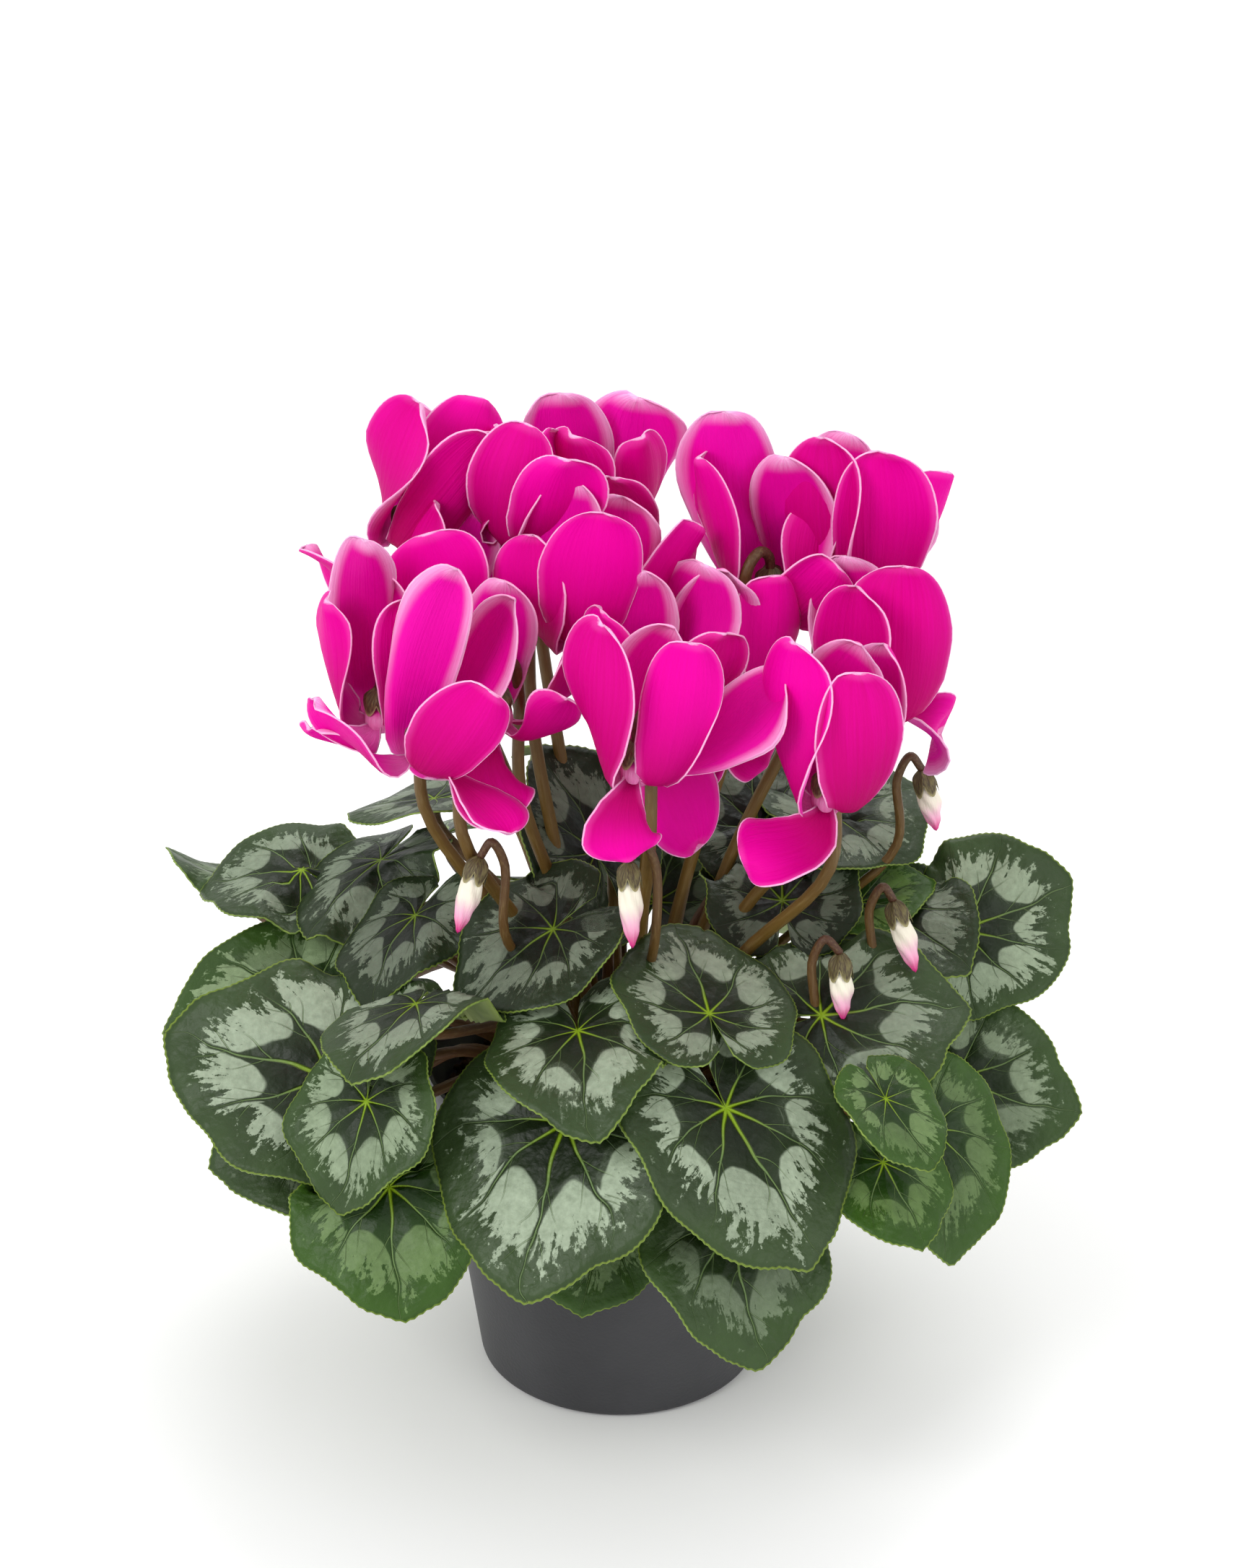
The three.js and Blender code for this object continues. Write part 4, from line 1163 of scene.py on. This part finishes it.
def cut_drain_holes(pot):
    cutter_mesh = bmesh.new()
    for i in range(DRAIN_HOLES):
        turn = 2 * math.pi * (i + 0.5) / DRAIN_HOLES
        hole = bmesh.ops.create_cone(cutter_mesh, segments=32, radius1=DRAIN_RADIUS * MM,
                                     radius2=DRAIN_RADIUS * MM, depth=POT_FLOOR * 5 * MM,
                                     cap_ends=True)
        bmesh.ops.translate(cutter_mesh, verts=hole["verts"], vec=around(turn, DRAIN_RING) * MM)
    cutter_data = bpy.data.meshes.new("drain_cutter")
    cutter_mesh.to_mesh(cutter_data)
    cutter_mesh.free()
    cutter = bpy.data.objects.new("drain_cutter", cutter_data)
    bpy.context.scene.collection.objects.link(cutter)
    cut = pot.modifiers.new("drain", "BOOLEAN")
    cut.object = cutter
    cut.solver = "EXACT"
    shaped = bpy.data.meshes.new_from_object(
        pot.evaluated_get(bpy.context.evaluated_depsgraph_get()))
    pot.modifiers.clear()
    pot.data = shaped
    bpy.data.objects.remove(cutter)


def crease(pot):
    """Marks the pot's clear edges as sharp."""
    mesh = bmesh.new()
    mesh.from_mesh(pot.data)
    for edge in mesh.edges:
        if len(edge.link_faces) == 2 and edge.calc_face_angle() > math.radians(CREASE_ANGLE):
            edge.smooth = False
    mesh.to_mesh(pot.data)
    mesh.free()


def soil_rise(spot):
    """How far the uneven soil lies above or below its level at a spot."""
    return SOIL_RELIEF * noise.fractal(spot * 0.09, 0.9, 2.0, 4)


def build_soil():
    piece = Piece("soil_fill", EARTH)
    top = inside_radius(SOIL_LEVEL) - SOIL_FIT
    bottom = inside_radius(POT_FLOOR) - SOIL_FIT - 0.4
    floor_z = POT_FLOOR + SOIL_FIT

    middle_rows = 0.06
    lower_rows = 0.16

    def place(u, v):
        """The underside's middle and then its edge, and the top from its edge to its middle."""
        turn = 2 * math.pi * u
        if v < middle_rows:
            return Vector((0, 0, floor_z))
        if v < lower_rows:
            return around(turn, bottom, floor_z)
        share = (1 - v) / (1 - lower_rows)
        spot = around(turn, top * share)
        rise = soil_rise(spot) if 0.01 < share < 0.98 else 0
        return spot + Vector((0, 0, SOIL_LEVEL + rise))

    piece.grid(96, 25, place)
    crumbs = random.Random(CRUMB_SEED)
    for _ in range(CRUMBS):
        turn = crumbs.uniform(0, 2 * math.pi)
        reach = math.sqrt(crumbs.uniform(0.28, 0.95)) * top
        size = crumbs.uniform(0.6, 1.9)
        made = bmesh.ops.create_icosphere(piece.mesh, subdivisions=1, radius=size * MM)
        spot = around(turn, reach)
        spot.z = SOIL_LEVEL + soil_rise(spot) + size * 0.15
        for vert in made["verts"]:
            vert.co *= 0.75 + 0.5 * noise.random()
            vert.co += spot * MM
    return piece.make("earth", "soil")


noise.seed_set(NOISE_SEED)
blades = [Blade(*row) for row in BLADES]
blooms = [Bloom(*row) for row in BLOOMS]
buds = [Bud(*row) for row in BUDS]
for part in blades + blooms + buds:
    part.build()
build_crown(blades, blooms, buds)
build_pot()
build_soil()


# Floor and light, in metres and watts
FLOOR_HALF_WIDTH = 8
FLOOR_DROP = 0.0005
FLOOR_SHADE = (0.96, 0.96, 0.96, 1)
STUDIO_GLOW = 0.80
LAMP_AIM = Vector((0, 0, 0.2))

floor_material = Finish("floor_pale").shade({"Base Color": FLOOR_SHADE, "Roughness": 0.9})
floor_mesh = bmesh.new()
bmesh.ops.create_grid(floor_mesh, x_segments=1, y_segments=1, size=FLOOR_HALF_WIDTH)
floor_data = bpy.data.meshes.new("floor")
floor_mesh.to_mesh(floor_data)
floor_mesh.free()
floor_data.materials.append(floor_material)
floor = bpy.data.objects.new("floor", floor_data)
bpy.context.scene.collection.objects.link(floor)
floor.location.z = -FLOOR_DROP

world = bpy.data.worlds.new("studio")
world.use_nodes = True
background = world.node_tree.nodes["Background"]
background.inputs["Color"].default_value = (1, 1, 1, 1)
background.inputs["Strength"].default_value = STUDIO_GLOW
bpy.context.scene.world = world


def softbox(name, place, size, power):
    data = bpy.data.lights.new(name, "AREA")
    data.shape = "RECTANGLE"
    data.size = size
    data.size_y = size
    data.energy = power
    lamp = bpy.data.objects.new(name, data)
    bpy.context.scene.collection.objects.link(lamp)
    lamp.location = place
    lamp.rotation_euler = (LAMP_AIM - Vector(place)).to_track_quat("-Z", "Y").to_euler()


softbox("key_left", (-1.3, -1.2, 1.5), 1.0, 22)
softbox("fill_right", (1.5, -1.0, 1.0), 1.2, 8)
softbox("top_back", (0.2, 1.0, 1.7), 1.2, 14)
